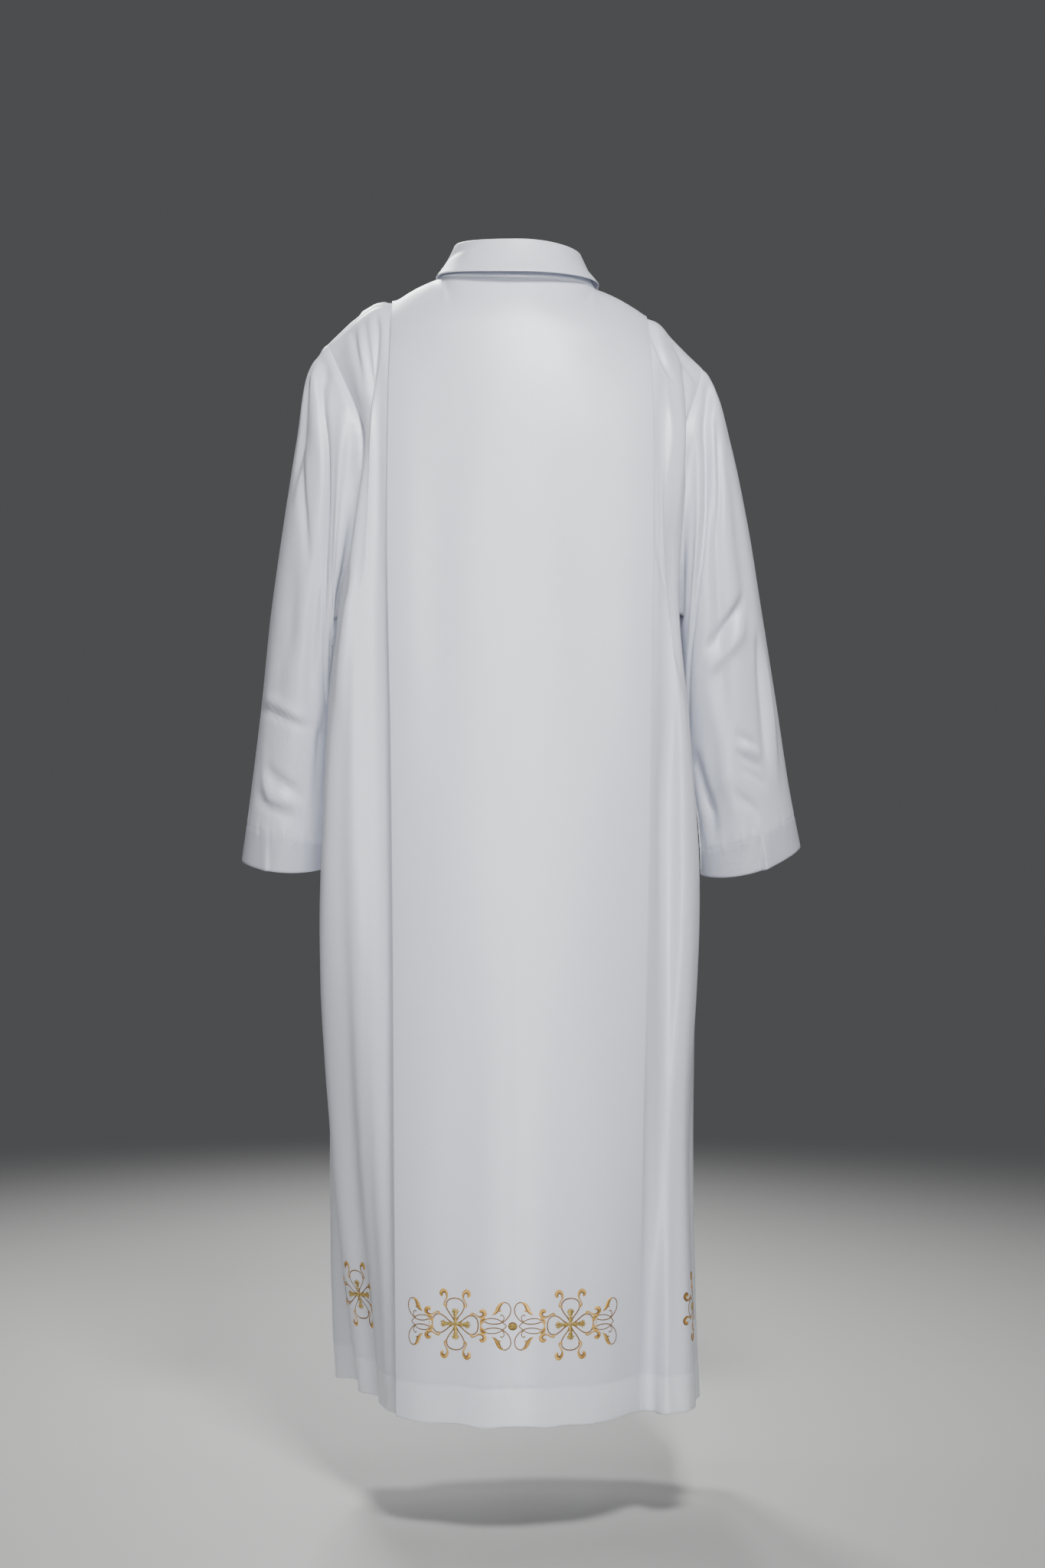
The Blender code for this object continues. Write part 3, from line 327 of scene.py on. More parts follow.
# Long folds that the solids have too: turn at the top and low end, start and end share, depth, spread.
SLEEVE_FOLDS = {
    Side.LEFT: (
        (78, 118, 0.03, 0.62, 0.006, 14),
        (38, 22, 0.02, 0.3, 0.0035, 13),
        (245, 228, 0.05, 0.55, 0.0055, 16),
    ),
    Side.RIGHT: (
        (70, 124, 0.02, 0.75, 0.0075, 14),
        (40, 60, 0.15, 0.55, 0.004, 13),
        (250, 230, 0.05, 0.6, 0.0055, 16),
    ),
}
SLEEVE_CREASES = {
    Side.LEFT: (
        Crease(
            ((4, 0, -0.0008), (22, 0.038, -0.0068), (48, 0.085, -0.0102), (66, 0.11, -0.0102),
             (92, 0.203, -0.0093), (122, 0.283, -0.0085), (152, 0.416, -0.0051), (162, 0.512, 0)),
            0.0145, 0.0051,
        ),
        Crease(
            ((34, 0.02, 0), (62, 0.05, 0.0051), (86, 0.1, 0.0058), (108, 0.17, 0.0044), (124, 0.22, 0)),
            0.0076, 0.0102,
        ),
        Crease(((4, 0.05, 0), (14, 0.1, -0.0044), (24, 0.17, -0.0058), (28, 0.26, 0)), 0.0119),
        Crease(((30, 0.19, 0), (46, 0.245, -0.0061), (60, 0.28, -0.0051), (78, 0.32, 0)), 0.0102),
        Crease(((112, 0.175, 0), (128, 0.185, -0.0085), (142, 0.215, -0.0085), (152, 0.25, 0)), 0.0051),
        Crease(((122, 0.225, 0), (138, 0.24, 0.0058), (156, 0.27, 0)), 0.0043),
        Crease(((132, 0.25, 0), (146, 0.27, -0.0085), (158, 0.31, -0.0051), (166, 0.36, 0)), 0.0051),
        Crease(
            ((10, 0.695, 0), (40, 0.678, -0.0024), (80, 0.654, -0.0031), (112, 0.62, -0.002),
             (132, 0.59, 0)),
            0.0051,
        ),
        Crease(((18, 0.672, 0), (50, 0.655, 0.0024), (90, 0.625, 0.0024), (120, 0.59, 0)), 0.0068),
        Crease(((40, 0.78, 0), (62, 0.795, -0.0034), (90, 0.8, -0.0037), (124, 0.8, 0)), 0.0085),
        Crease(((30, 0.845, 0), (56, 0.86, -0.0027), (84, 0.867, -0.0027), (110, 0.87, 0)), 0.0068),
        Crease(((40, 0.74, 0), (58, 0.825, 0.0031), (96, 0.835, 0.0027), (120, 0.84, 0)), 0.0085),
        Crease(((160, 0.46, 0), (150, 0.58, -0.0037), (142, 0.7, -0.0034), (140, 0.86, 0)), 0.0119),
        Crease(((60, 0.36, 0), (66, 0.48, -0.0041), (58, 0.6, -0.0027), (62, 0.72, 0)), 0.017),
        Crease(((66, 0.9, 0), (68, 0.94, 0.0012), (72, 1, 0.0026)), 0.0085, 0.0034),
        Crease(((300, 0.06, 0), (288, 0.2, -0.0085), (268, 0.38, -0.0068), (252, 0.56, 0)), 0.011, 0.0051),
        Crease(((330, 0.2, 0), (326, 0.36, -0.0051), (318, 0.52, -0.0044), (316, 0.74, 0)), 0.0136),
        Crease(((232, 0.5, 0), (252, 0.59, -0.0058), (276, 0.64, -0.0051), (306, 0.67, 0)), 0.0085, 0.0051),
        Crease(((226, 0.62, 0), (250, 0.7, -0.0041), (280, 0.75, -0.0031), (300, 0.76, 0)), 0.0076),
        Crease(((206, 0.34, 0), (204, 0.56, -0.0061), (214, 0.78, -0.0044), (212, 0.92, 0)), 0.0119),
        Crease(((280, 0.9, 0), (284, 0.95, 0.0017), (282, 1, 0.0041)), 0.0085, 0.0043),
    ),
    Side.RIGHT: (
        Crease(
            ((6, 0, -0.0014), (16, 0.02, -0.0061), (50, 0.057, -0.0105), (74, 0.099, -0.0112),
             (98, 0.142, -0.0102), (132, 0.195, -0.0085), (162, 0.349, -0.0068), (178, 0.609, 0)),
            0.011, 0.0038,
        ),
        Crease(
            ((38, 0.02, 0), (66, 0.055, 0.0051), (90, 0.095, 0.0054), (116, 0.14, 0.0044), (146, 0.19, 0)),
            0.0051, 0.0102,
        ),
        Crease(((34, 0.075, 0), (50, 0.13, -0.0051), (64, 0.18, -0.0054), (88, 0.23, 0)), 0.0085),
        Crease(
            ((52, 0.425, 0), (66, 0.415, -0.0068), (84, 0.405, -0.0095), (100, 0.391, -0.0078),
             (124, 0.34, 0)),
            0.0093, 0.0076,
        ),
        Crease(((56, 0.47, 0), (78, 0.462, 0.0044), (104, 0.445, 0.0041), (122, 0.4, 0)), 0.0102),
        Crease(
            ((42, 0.5, 0), (46, 0.56, -0.0054), (51, 0.64, -0.0071), (55, 0.72, -0.0065), (59, 0.81, 0)),
            0.0068, 0.0102,
        ),
        Crease(((30, 0.54, 0), (36, 0.64, 0.0031), (42, 0.74, 0.0031), (46, 0.84, 0)), 0.0076),
        Crease(((96, 0.645, 0), (88, 0.68, -0.0041), (78, 0.705, -0.0041), (66, 0.735, 0)), 0.0047),
        Crease(((92, 0.67, 0), (84, 0.7, 0.0034), (74, 0.728, 0.0031), (64, 0.75, 0)), 0.0047),
        Crease(((100, 0.69, 0), (90, 0.725, -0.0041), (78, 0.755, -0.0037), (64, 0.785, 0)), 0.0043),
        Crease(((98, 0.735, 0), (86, 0.765, -0.0034), (72, 0.8, -0.0031), (62, 0.83, 0)), 0.0043),
        Crease(((106, 0.78, 0), (96, 0.825, -0.0034), (84, 0.86, -0.0027), (78, 0.9, 0)), 0.0051),
        Crease(
            ((158, 0.6, 0), (154, 0.68, -0.0061), (148, 0.77, -0.0085), (140, 0.85, -0.0044),
             (138, 0.91, 0)),
            0.011,
        ),
        Crease(
            ((118, 0.46, 0), (116, 0.56, 0.0051), (114, 0.68, 0.0054), (108, 0.8, 0.0041),
             (104, 0.905, 0.0017)),
            0.0136,
        ),
        Crease(((74, 0.905, 0), (76, 0.95, 0.002), (78, 1, 0.0054)), 0.0093, 0.0034),
        Crease(((300, 0.06, 0), (286, 0.22, -0.0085), (266, 0.42, -0.0068), (252, 0.6, 0)), 0.011, 0.0051),
        Crease(((332, 0.22, 0), (324, 0.4, -0.0054), (316, 0.62, -0.0044), (318, 0.8, 0)), 0.0127),
        Crease(
            ((234, 0.46, 0), (252, 0.55, -0.0061), (278, 0.61, -0.0051), (304, 0.63, 0)),
            0.0076, 0.0051,
        ),
        Crease(((228, 0.6, 0), (250, 0.67, -0.0041), (276, 0.71, -0.0034), (296, 0.71, 0)), 0.0068),
        Crease(((212, 0.38, 0), (206, 0.56, -0.0058), (212, 0.76, -0.0044), (210, 0.92, 0)), 0.0119),
        Crease(((286, 0.9, 0), (288, 0.95, 0.0017), (290, 1, 0.0044)), 0.0076, 0.0043),
    ),
}

# Creases of the middle parts: across is the distance from the middle.
MIDDLE_CREASES = {
    (Face.BACK, Side.LEFT): (
        Crease(((0, 0.7, 0), (0.001, 0.95, 0.0007), (0, 1.2, 0.0008), (0, 1.36, 0.0004)), 0.006),
        Crease(((0.071, 0.385, 0), (0.095, 0.383, -0.0007), (0.127, 0.386, 0)), 0.006),
        Crease(
            ((0.06, 0.1, 0), (0.085, 0.22, -0.0018), (0.1, 0.36, -0.0023), (0.095, 0.55, -0.0013),
             (0.09, 0.75, 0)),
            0.03,
        ),
        Crease(((0.13, 0.06, 0), (0.135, 0.2, 0.0016), (0.132, 0.4, 0.0018), (0.128, 0.7, 0)), 0.018),
        Crease(((0.07, 0.8, 0), (0.066, 1, -0.0021), (0.07, 1.22, -0.0029), (0.082, 1.417, -0.0034)), 0.03),
        Crease(((0.118, 0.95, 0), (0.116, 1.2, 0.0016), (0.12, 1.417, 0.0026)), 0.02),
    ),
    (Face.BACK, Side.RIGHT): (
        Crease(((0, 0.7, 0), (0.001, 0.95, 0.0007), (0, 1.2, 0.0008), (0, 1.36, 0.0004)), 0.006),
        Crease(((0.05, 0.12, 0), (0.07, 0.26, -0.0016), (0.082, 0.44, -0.0021), (0.078, 0.66, 0)), 0.028),
        Crease(((0.135, 0.1, 0), (0.14, 0.24, 0.0013), (0.138, 0.46, 0.0018), (0.134, 0.72, 0)), 0.018),
        Crease(
            ((0.06, 0.86, 0), (0.062, 1.06, -0.0018), (0.058, 1.26, -0.0026), (0.05, 1.417, -0.0034)),
            0.028,
        ),
        Crease(((0.098, 1.366, 0), (0.116, 1.376, -0.0013), (0.14, 1.382, 0)), 0.006),
        Crease(((0.112, 0.9, 0), (0.116, 1.16, 0.0013), (0.112, 1.417, 0.0026)), 0.02),
        Crease(((0.09, 1.392, 0), (0.11, 1.398, 0.001), (0.132, 1.404, 0)), 0.006),
    ),
    (Face.FRONT, Side.LEFT): (
        Crease(
            ((0.04, 0.08, 0), (0.062, 0.2, -0.0021), (0.08, 0.36, -0.0026), (0.074, 0.58, -0.0013),
             (0.07, 0.8, 0)),
            0.026,
        ),
        Crease(((0.11, 0.1, 0), (0.12, 0.3, 0.0018), (0.118, 0.52, 0)), 0.018),
        Crease(
            ((0.06, 0.84, 0), (0.064, 1.05, -0.0023), (0.06, 1.25, -0.0031), (0.066, 1.417, -0.0039)),
            0.028,
        ),
        Crease(((0.112, 0.9, 0), (0.108, 1.2, 0.0018), (0.112, 1.417, 0.0029)), 0.02),
        Crease(((0.03, 0.34, 0), (0.06, 0.345, -0.0008), (0.1, 0.34, 0)), 0.007),
    ),
    (Face.FRONT, Side.RIGHT): (
        Crease(((0.036, 0.1, 0), (0.056, 0.24, -0.0021), (0.072, 0.4, -0.0023), (0.066, 0.62, 0)), 0.026),
        Crease(((0.106, 0.12, 0), (0.116, 0.34, 0.0016), (0.112, 0.56, 0)), 0.018),
        Crease(
            ((0.054, 0.88, 0), (0.058, 1.1, -0.0023), (0.064, 1.28, -0.0029), (0.058, 1.417, -0.0039)),
            0.028,
        ),
        Crease(((0.11, 0.94, 0), (0.114, 1.22, 0.0018), (0.108, 1.417, 0.0029)), 0.02),
        Crease(((0.04, 0.6, 0), (0.074, 0.604, -0.0008), (0.11, 0.6, 0)), 0.007),
    ),
}

# Creases of the side parts: across is the distance from the pleat.
SIDE_CREASES = {
    (Face.BACK, Side.LEFT): (
        Crease(
            ((0.0225, 0.01, 0), (0.019, 0.05, -0.0072), (0.0205, 0.1, -0.0078), (0.026, 0.152, -0.0069),
             (0.0315, 0.197, -0.003), (0.036, 0.24, 0)),
            0.0031, 0.0101,
        ),
        Crease(
            ((0.04, 0.006, 0), (0.0365, 0.06, -0.0051), (0.0335, 0.11, -0.0054), (0.032, 0.16, 0)),
            0.0051, 0.0074,
        ),
        Crease(((0.046, 0.03, 0), (0.044, 0.075, 0.0033), (0.04, 0.13, 0.0024), (0.038, 0.17, 0)), 0.0055),
        Crease(((0.06, 0.006, 0), (0.0555, 0.05, -0.0039), (0.046, 0.1, -0.0039), (0.04, 0.14, 0)), 0.0055),
        Crease(((0.058, 0.37, 0), (0.064, 0.404, -0.003), (0.08, 0.43, -0.003), (0.084, 0.48, 0)), 0.0064),
        Crease(((0.07, 0.35, 0), (0.082, 0.385, 0.0039), (0.096, 0.41, 0.0036), (0.104, 0.45, 0)), 0.0055),
        Crease(((0.05, 0.38, 0), (0.058, 0.44, 0.0039), (0.066, 0.5, 0.0036), (0.066, 0.6, 0)), 0.0092),
        Crease(((0.088, 0.4, 0), (0.098, 0.46, 0.0039), (0.104, 0.56, 0.0024), (0.11, 0.66, 0)), 0.0074),
        Crease(
            ((0.006, 0.26, 0), (0.008, 0.428, -0.0021), (0.012, 0.62, -0.0039), (0.014, 0.86, -0.0045),
             (0.017, 1.1, -0.0036), (0.018, 1.417, -0.0015)),
            0.0064,
        ),
        Crease(
            ((0.024, 0.3, 0), (0.03, 0.5, 0.0027), (0.034, 0.8, 0.0036), (0.038, 1.16, 0.003),
             (0.04, 1.417, 0.0015)),
            0.011,
        ),
        Crease(
            ((0.07, 0.62, 0), (0.074, 0.9, -0.0054), (0.09, 1.16, -0.0075), (0.108, 1.417, -0.009)),
            0.0166,
        ),
        Crease(((0.112, 0.7, 0), (0.126, 1, 0.0054), (0.146, 1.417, 0.0081)), 0.0184),
        Crease(((0.16, 0.8, 0), (0.18, 1.1, -0.006), (0.196, 1.417, -0.0096)), 0.0166),
        Crease(((0.2, 0.9, 0), (0.22, 1.14, 0.0045), (0.24, 1.417, 0.0075)), 0.0166),
        Crease(((0.02, 1.372, 0), (0.036, 1.388, -0.0024), (0.052, 1.41, -0.0015)), 0.0046),
        Crease(((0.15, 1.366, 0), (0.16, 1.39, -0.0027), (0.164, 1.417, -0.0036)), 0.0055),
    ),
    (Face.BACK, Side.RIGHT): (
        Crease(
            ((0.002, 0.018, -0.0009), (0.0105, 0.055, -0.0045), (0.022, 0.08, -0.0051),
             (0.034, 0.088, -0.003), (0.05, 0.094, 0)),
            0.0041, 0.0064,
        ),
        Crease(
            ((0.04, 0.016, 0), (0.06, 0.033, -0.0036), (0.078, 0.038, -0.0039), (0.09, 0.05, 0)),
            0.0041,
        ),
        Crease(((0.03, 0.1, 0), (0.036, 0.17, 0.0033), (0.04, 0.25, 0.0033), (0.036, 0.33, 0)), 0.011),
        Crease(
            ((0.058, 0.03, 0), (0.0675, 0.075, -0.0069), (0.073, 0.111, -0.0084), (0.0639, 0.183, -0.006),
             (0.0555, 0.26, -0.003), (0.0545, 0.313, -0.0018), (0.044, 0.37, 0)),
            0.0037, 0.0101,
        ),
        Crease(((0.012, 0.16, 0), (0.016, 0.24, -0.003), (0.018, 0.32, -0.0027), (0.02, 0.38, 0)), 0.0092),
        Crease(
            ((0, 0.322, -0.0012), (0.0206, 0.399, -0.006), (0.0329, 0.446, -0.0045),
             (0.0538, 0.521, -0.0024), (0.0712, 0.613, -0.0015), (0.086, 0.72, 0)),
            0.0041, 0.0101,
        ),
        Crease(
            ((0.026, 0.54, 0), (0.029, 0.64, -0.0069), (0.032, 0.76, -0.0075), (0.038, 0.9, -0.0051),
             (0.042, 1.08, -0.0024), (0.044, 1.22, 0)),
            0.011, 0.0147,
        ),
        Crease(
            ((0.056, 0.62, 0), (0.062, 0.8, 0.0045), (0.066, 1.04, 0.0045), (0.066, 1.417, 0.0054)),
            0.0138,
        ),
        Crease(
            ((0.1, 0.6, 0), (0.11, 0.82, -0.0051), (0.116, 1.1, -0.0066), (0.12, 1.417, -0.009)),
            0.0138,
        ),
        Crease(((0.01, 0.9, 0), (0.014, 1.14, -0.0033), (0.016, 1.417, -0.006)), 0.0083),
        Crease(((0.15, 0.7, 0), (0.16, 1, 0.0045), (0.166, 1.417, 0.0075)), 0.0147),
        Crease(((0.046, 1.366, 0), (0.056, 1.39, -0.0024), (0.06, 1.417, -0.0036)), 0.0055),
    ),
    (Face.FRONT, Side.LEFT): (
        Crease(
            ((0.014, 0.02, 0), (0.016, 0.1, -0.0054), (0.024, 0.18, -0.0051), (0.026, 0.26, 0)),
            0.0046, 0.0092,
        ),
        Crease(((0.04, 0.02, 0), (0.036, 0.09, 0.0039), (0.03, 0.16, 0)), 0.0074),
        Crease(((0.052, 0.01, 0), (0.046, 0.07, -0.0042), (0.04, 0.13, 0)), 0.0055),
        Crease(((0.04, 0.36, 0), (0.048, 0.42, -0.006), (0.052, 0.5, 0)), 0.0074),
        Crease(
            ((0.03, 0.5, 0), (0.036, 0.74, -0.0054), (0.04, 1.04, -0.0066), (0.04, 1.417, -0.0081)),
            0.012,
        ),
        Crease(((0.068, 0.6, 0), (0.072, 0.9, 0.0045), (0.078, 1.417, 0.0072)), 0.0147),
    ),
    (Face.FRONT, Side.RIGHT): (
        Crease(
            ((0.01, 0.02, 0), (0.014, 0.09, -0.0048), (0.022, 0.16, -0.0054), (0.028, 0.23, 0)),
            0.0046, 0.0092,
        ),
        Crease(((0.042, 0.03, 0), (0.038, 0.11, 0.0036), (0.032, 0.19, 0)), 0.0074),
        Crease(((0.056, 0.01, 0), (0.052, 0.06, -0.0039), (0.044, 0.12, 0)), 0.0055),
        Crease(((0.038, 0.38, 0), (0.044, 0.44, -0.0057), (0.05, 0.54, 0)), 0.0074),
        Crease(
            ((0.026, 0.56, 0), (0.034, 0.8, -0.0051), (0.036, 1.1, -0.0069), (0.042, 1.417, -0.0084)),
            0.012,
        ),
        Crease(((0.07, 0.66, 0), (0.076, 0.96, 0.0051), (0.08, 1.417, 0.0069)), 0.0147),
    ),
}

# Creases of the collar: across is the turn in degrees and down is the share of the fall.
COLLAR_CREASES = (
    Crease(((30, 0.06, 0), (48, 0.16, -0.001), (66, 0.3, -0.0014), (80, 0.5, 0)), 0.007),
    Crease(((-40, 0.2, 0), (-62, 0.34, -0.001), (-84, 0.6, -0.0012), (-96, 0.86, 0)), 0.008),
    Crease(((10, 0.72, 0), (-14, 0.66, -0.0006), (-34, 0.7, 0)), 0.008),
    Crease(((112, 0.1, 0), (126, 0.34, -0.001), (138, 0.6, 0)), 0.007),
    Crease(((-116, 0.12, 0), (-130, 0.4, -0.001), (-140, 0.66, 0)), 0.007),
)


def unit(vectors: Array) -> Array:
    """Vectors of length 1 along the last axis."""
    return vectors / np.maximum(np.linalg.norm(vectors, axis=-1, keepdims=True), 1e-12)


def square(vectors: Array, axis: Array) -> Array:
    """Unit vectors with their part along an axis taken out."""
    return unit(vectors - axis * np.sum(vectors * axis, axis=-1, keepdims=True))


def running(steps: Array) -> Array:
    """Running sum of steps, from zero."""
    return np.concatenate([[0.0], np.cumsum(steps)])


def through(knots: Any, values: Any, places: Any) -> Array:
    """Smooth curve through values at knots.

    Between two knots it is a cubic whose end slopes are the mean of the slopes on either side, each
    weighted by the other's span.

    Args:
        knots: Rising numbers, one for each value.
        values: Values, numbers or points, along the first axis.
        places: Where on the knots to read the curve.

    Returns:
        The values at the places.
    """
    knots = np.asarray(knots, float)
    values = np.asarray(values, float)
    places = np.clip(np.asarray(places, float), knots[0], knots[-1])
    spans = np.diff(knots)
    wide = spans.reshape((-1,) + (1,) * (values.ndim - 1))
    chords = np.diff(values, axis=0) / wide
    slopes = np.empty_like(values)
    slopes[0] = chords[0]
    slopes[-1] = chords[-1]
    slopes[1:-1] = (chords[:-1] * wide[1:] + chords[1:] * wide[:-1]) / (wide[1:] + wide[:-1])
    k = np.clip(np.searchsorted(knots, places, side="right") - 1, 0, len(spans) - 1)
    shape = (-1,) + (1,) * (values.ndim - 1)
    s = ((places - knots[k]) / spans[k]).reshape(shape)
    h = spans[k].reshape(shape)
    start = (1 + 2 * s) * (1 - s) ** 2 * values[k] + s * (1 - s) ** 2 * h * slopes[k]
    finish = s**2 * (3 - 2 * s) * values[k + 1] + s**2 * (s - 1) * h * slopes[k + 1]
    return start + finish


def smooth_share(value: Any, low: float, high: float) -> Array:
    """0 below low, 1 above high, and an easy curve between them."""
    s = np.clip((np.asarray(value, float) - low) / (high - low), 0.0, 1.0)
    return s * s * (3 - 2 * s)


def bell(away: Array, spread: Any) -> Array:
    """Bell curve: e to the minus square of a distance over its spread."""
    return np.exp(-((away / spread) ** 2))


def arc_length(points: Array, axis: int) -> Array:
    """Distance along a grid's lines from their first point, the sum of the steps between points."""
    steps = np.linalg.norm(np.diff(points, axis=axis), axis=-1)
    start = np.zeros_like(np.take(steps, [0], axis=axis))
    return np.concatenate([start, np.cumsum(steps, axis=axis)], axis=axis)


def smooth_line(knots: Any, steps: int) -> Array:
    """Curve through places, the knots spaced by their distances, with steps points for each span."""
    values = np.asarray(knots, float)
    reach = running(np.linalg.norm(np.diff(values[:, :2], axis=0), axis=1))
    spans = [np.linspace(a, b, steps, endpoint=False) for a, b in zip(reach[:-1], reach[1:])]
    return through(reach, values, np.concatenate(spans + [reach[-1:]]))


def pressed(
    creases: Sequence[Crease], across: Array, down: Array, scale: Array | float = 1.0, length: float = 1.0
) -> Array:
    """Height of the cloth over its plain form.

    Each crease adds its height times e to the minus square of the distance from its line over its
    half width on that side. The side is the sign of the line's way crossed with the way to the place.

    Args:
        creases: The creases.
        across: Places across the cloth, in the creases' own measure.
        down: Places down the cloth, in the creases' own measure.
        scale: Metres for one step of the measure across.
        length: Metres for one step of the measure down.

    Returns:
        Heights in metres, of the shape of across.
    """
    total = np.zeros(across.shape)
    wide = np.broadcast_to(np.asarray(scale, float), across.shape)
    for crease in creases:
        line = smooth_line(crease.line, 5)
        best = np.full(across.shape, np.inf)
        height = np.zeros(across.shape)
        upper = np.zeros(across.shape, bool)
        for first, second in zip(line[:-1], line[1:]):
            run = (second[0] - first[0]) * wide
            fall = (second[1] - first[1]) * length
            da = (across - first[0]) * wide
            db = (down - first[1]) * length
            share = np.clip((da * run + db * fall) / np.maximum(run * run + fall * fall, 1e-12), 0.0, 1.0)
            away = (da - share * run) ** 2 + (db - share * fall) ** 2
            nearer = away < best
            best = np.where(nearer, away, best)
            upper = np.where(nearer, run * db - fall * da < 0, upper)
            height = np.where(nearer, first[2] + share * (second[2] - first[2]), height)
        width = np.where(upper, crease.upper or crease.width, crease.width)
        total += height * np.exp(-best / width**2)
    return total


def ripple(along: Array, seed: float) -> Array:
    """Uneven wave between about -1 and 1: four sines whose lengths have no common measure."""
    return sum(share * np.sin(along * turn + part * seed) for share, turn, part in RIPPLES)


def sewn_line(along: Array, away: Array, seed: float) -> Array:
    """Height beside a line of stitches: a narrow groove, and puckers that fade out on both sides.

    The puckers are an uneven wave along the line under a bell across it, wider on the single cloth.

    Args:
        along: Places along the line, in metres.
        away: Distances past the line, in metres, below zero on the single cloth.
        seed: Shifts the wave.

    Returns:
        Heights in metres.
    """
    spread = np.where(away < 0, PUCKER_SINGLE, PUCKER_DOUBLE)
    puckers = PUCKER_HEIGHT * ripple(along, seed) * bell(away, spread)
    return puckers - GROOVE_DEPTH * bell(away, GROOVE_SPREAD)


def seam_puckers(along: Array, away: Array, spread: float, seed: float) -> Array:
    """Height of the puckers beside a seam: an uneven wave under a bell, from nothing at the seam."""
    return SEAM_PUCKER * ripple(along, seed) * bell(away, spread) * smooth_share(away, 0.0, SEAM_EASE)


def hem_rise(x: Array, down: Array) -> Array:
    """How far an uneven hem rises: a long uneven wave that grows towards the bottom edge."""
    growth = smooth_share(down, HEM_LINE - HEM_START, HEM_DOWN)
    return HEM_WAVE * ripple(x * HEM_STRETCH, 1.2) * growth


def neckline(side: Side, turn: Any) -> Array:
    """Points of the neckline: an oval, at turns of 0 degrees at the back, 90 at the side, 180 in front."""
    angle = np.radians(np.asarray(turn, float))
    behind = np.asarray(turn) <= 90.0
    depth = np.where(behind, NECK_BACK_DEPTH, NECK_FRONT_DEPTH)
    low = np.where(behind, NECK_BACK_Z, NECK_FRONT_Z)
    x = side.sign * NECK_HALF_WIDTH * np.sin(angle)
    y = NECK_MIDDLE_Y + depth * np.cos(angle)
    z = low + (NECK_POINT_Z[side] - low) * np.sin(angle) ** 2
    return np.stack([x, y, z], axis=-1)


def face_normals(grid: Array) -> Array:
    """Unit normals of a grid: the cross product of its slopes across and down."""
    return unit(np.cross(np.gradient(grid, axis=1), np.gradient(grid, axis=0)))


def numbered(rows: int, columns: int) -> Array:
    """Indices of a grid's points, row by row."""
    return np.arange(rows * columns).reshape(rows, columns)


def ringed(grid: Array) -> Array:
    """Grid with its first column again after the last."""
    return np.concatenate([grid, grid[:, :1]], axis=1)


def cells(index: Array) -> Array:
    """Four-sided faces between the neighbouring points of a grid of indices."""
    return np.stack([index[:-1, :-1], index[1:, :-1], index[1:, 1:], index[:-1, 1:]], axis=-1).reshape(-1, 4)


def strip(first: Array, second: Array) -> Array:
    """Four-sided faces between two lines of indices."""
    return np.stack([first[:-1], first[1:], second[1:], second[:-1]], axis=-1)


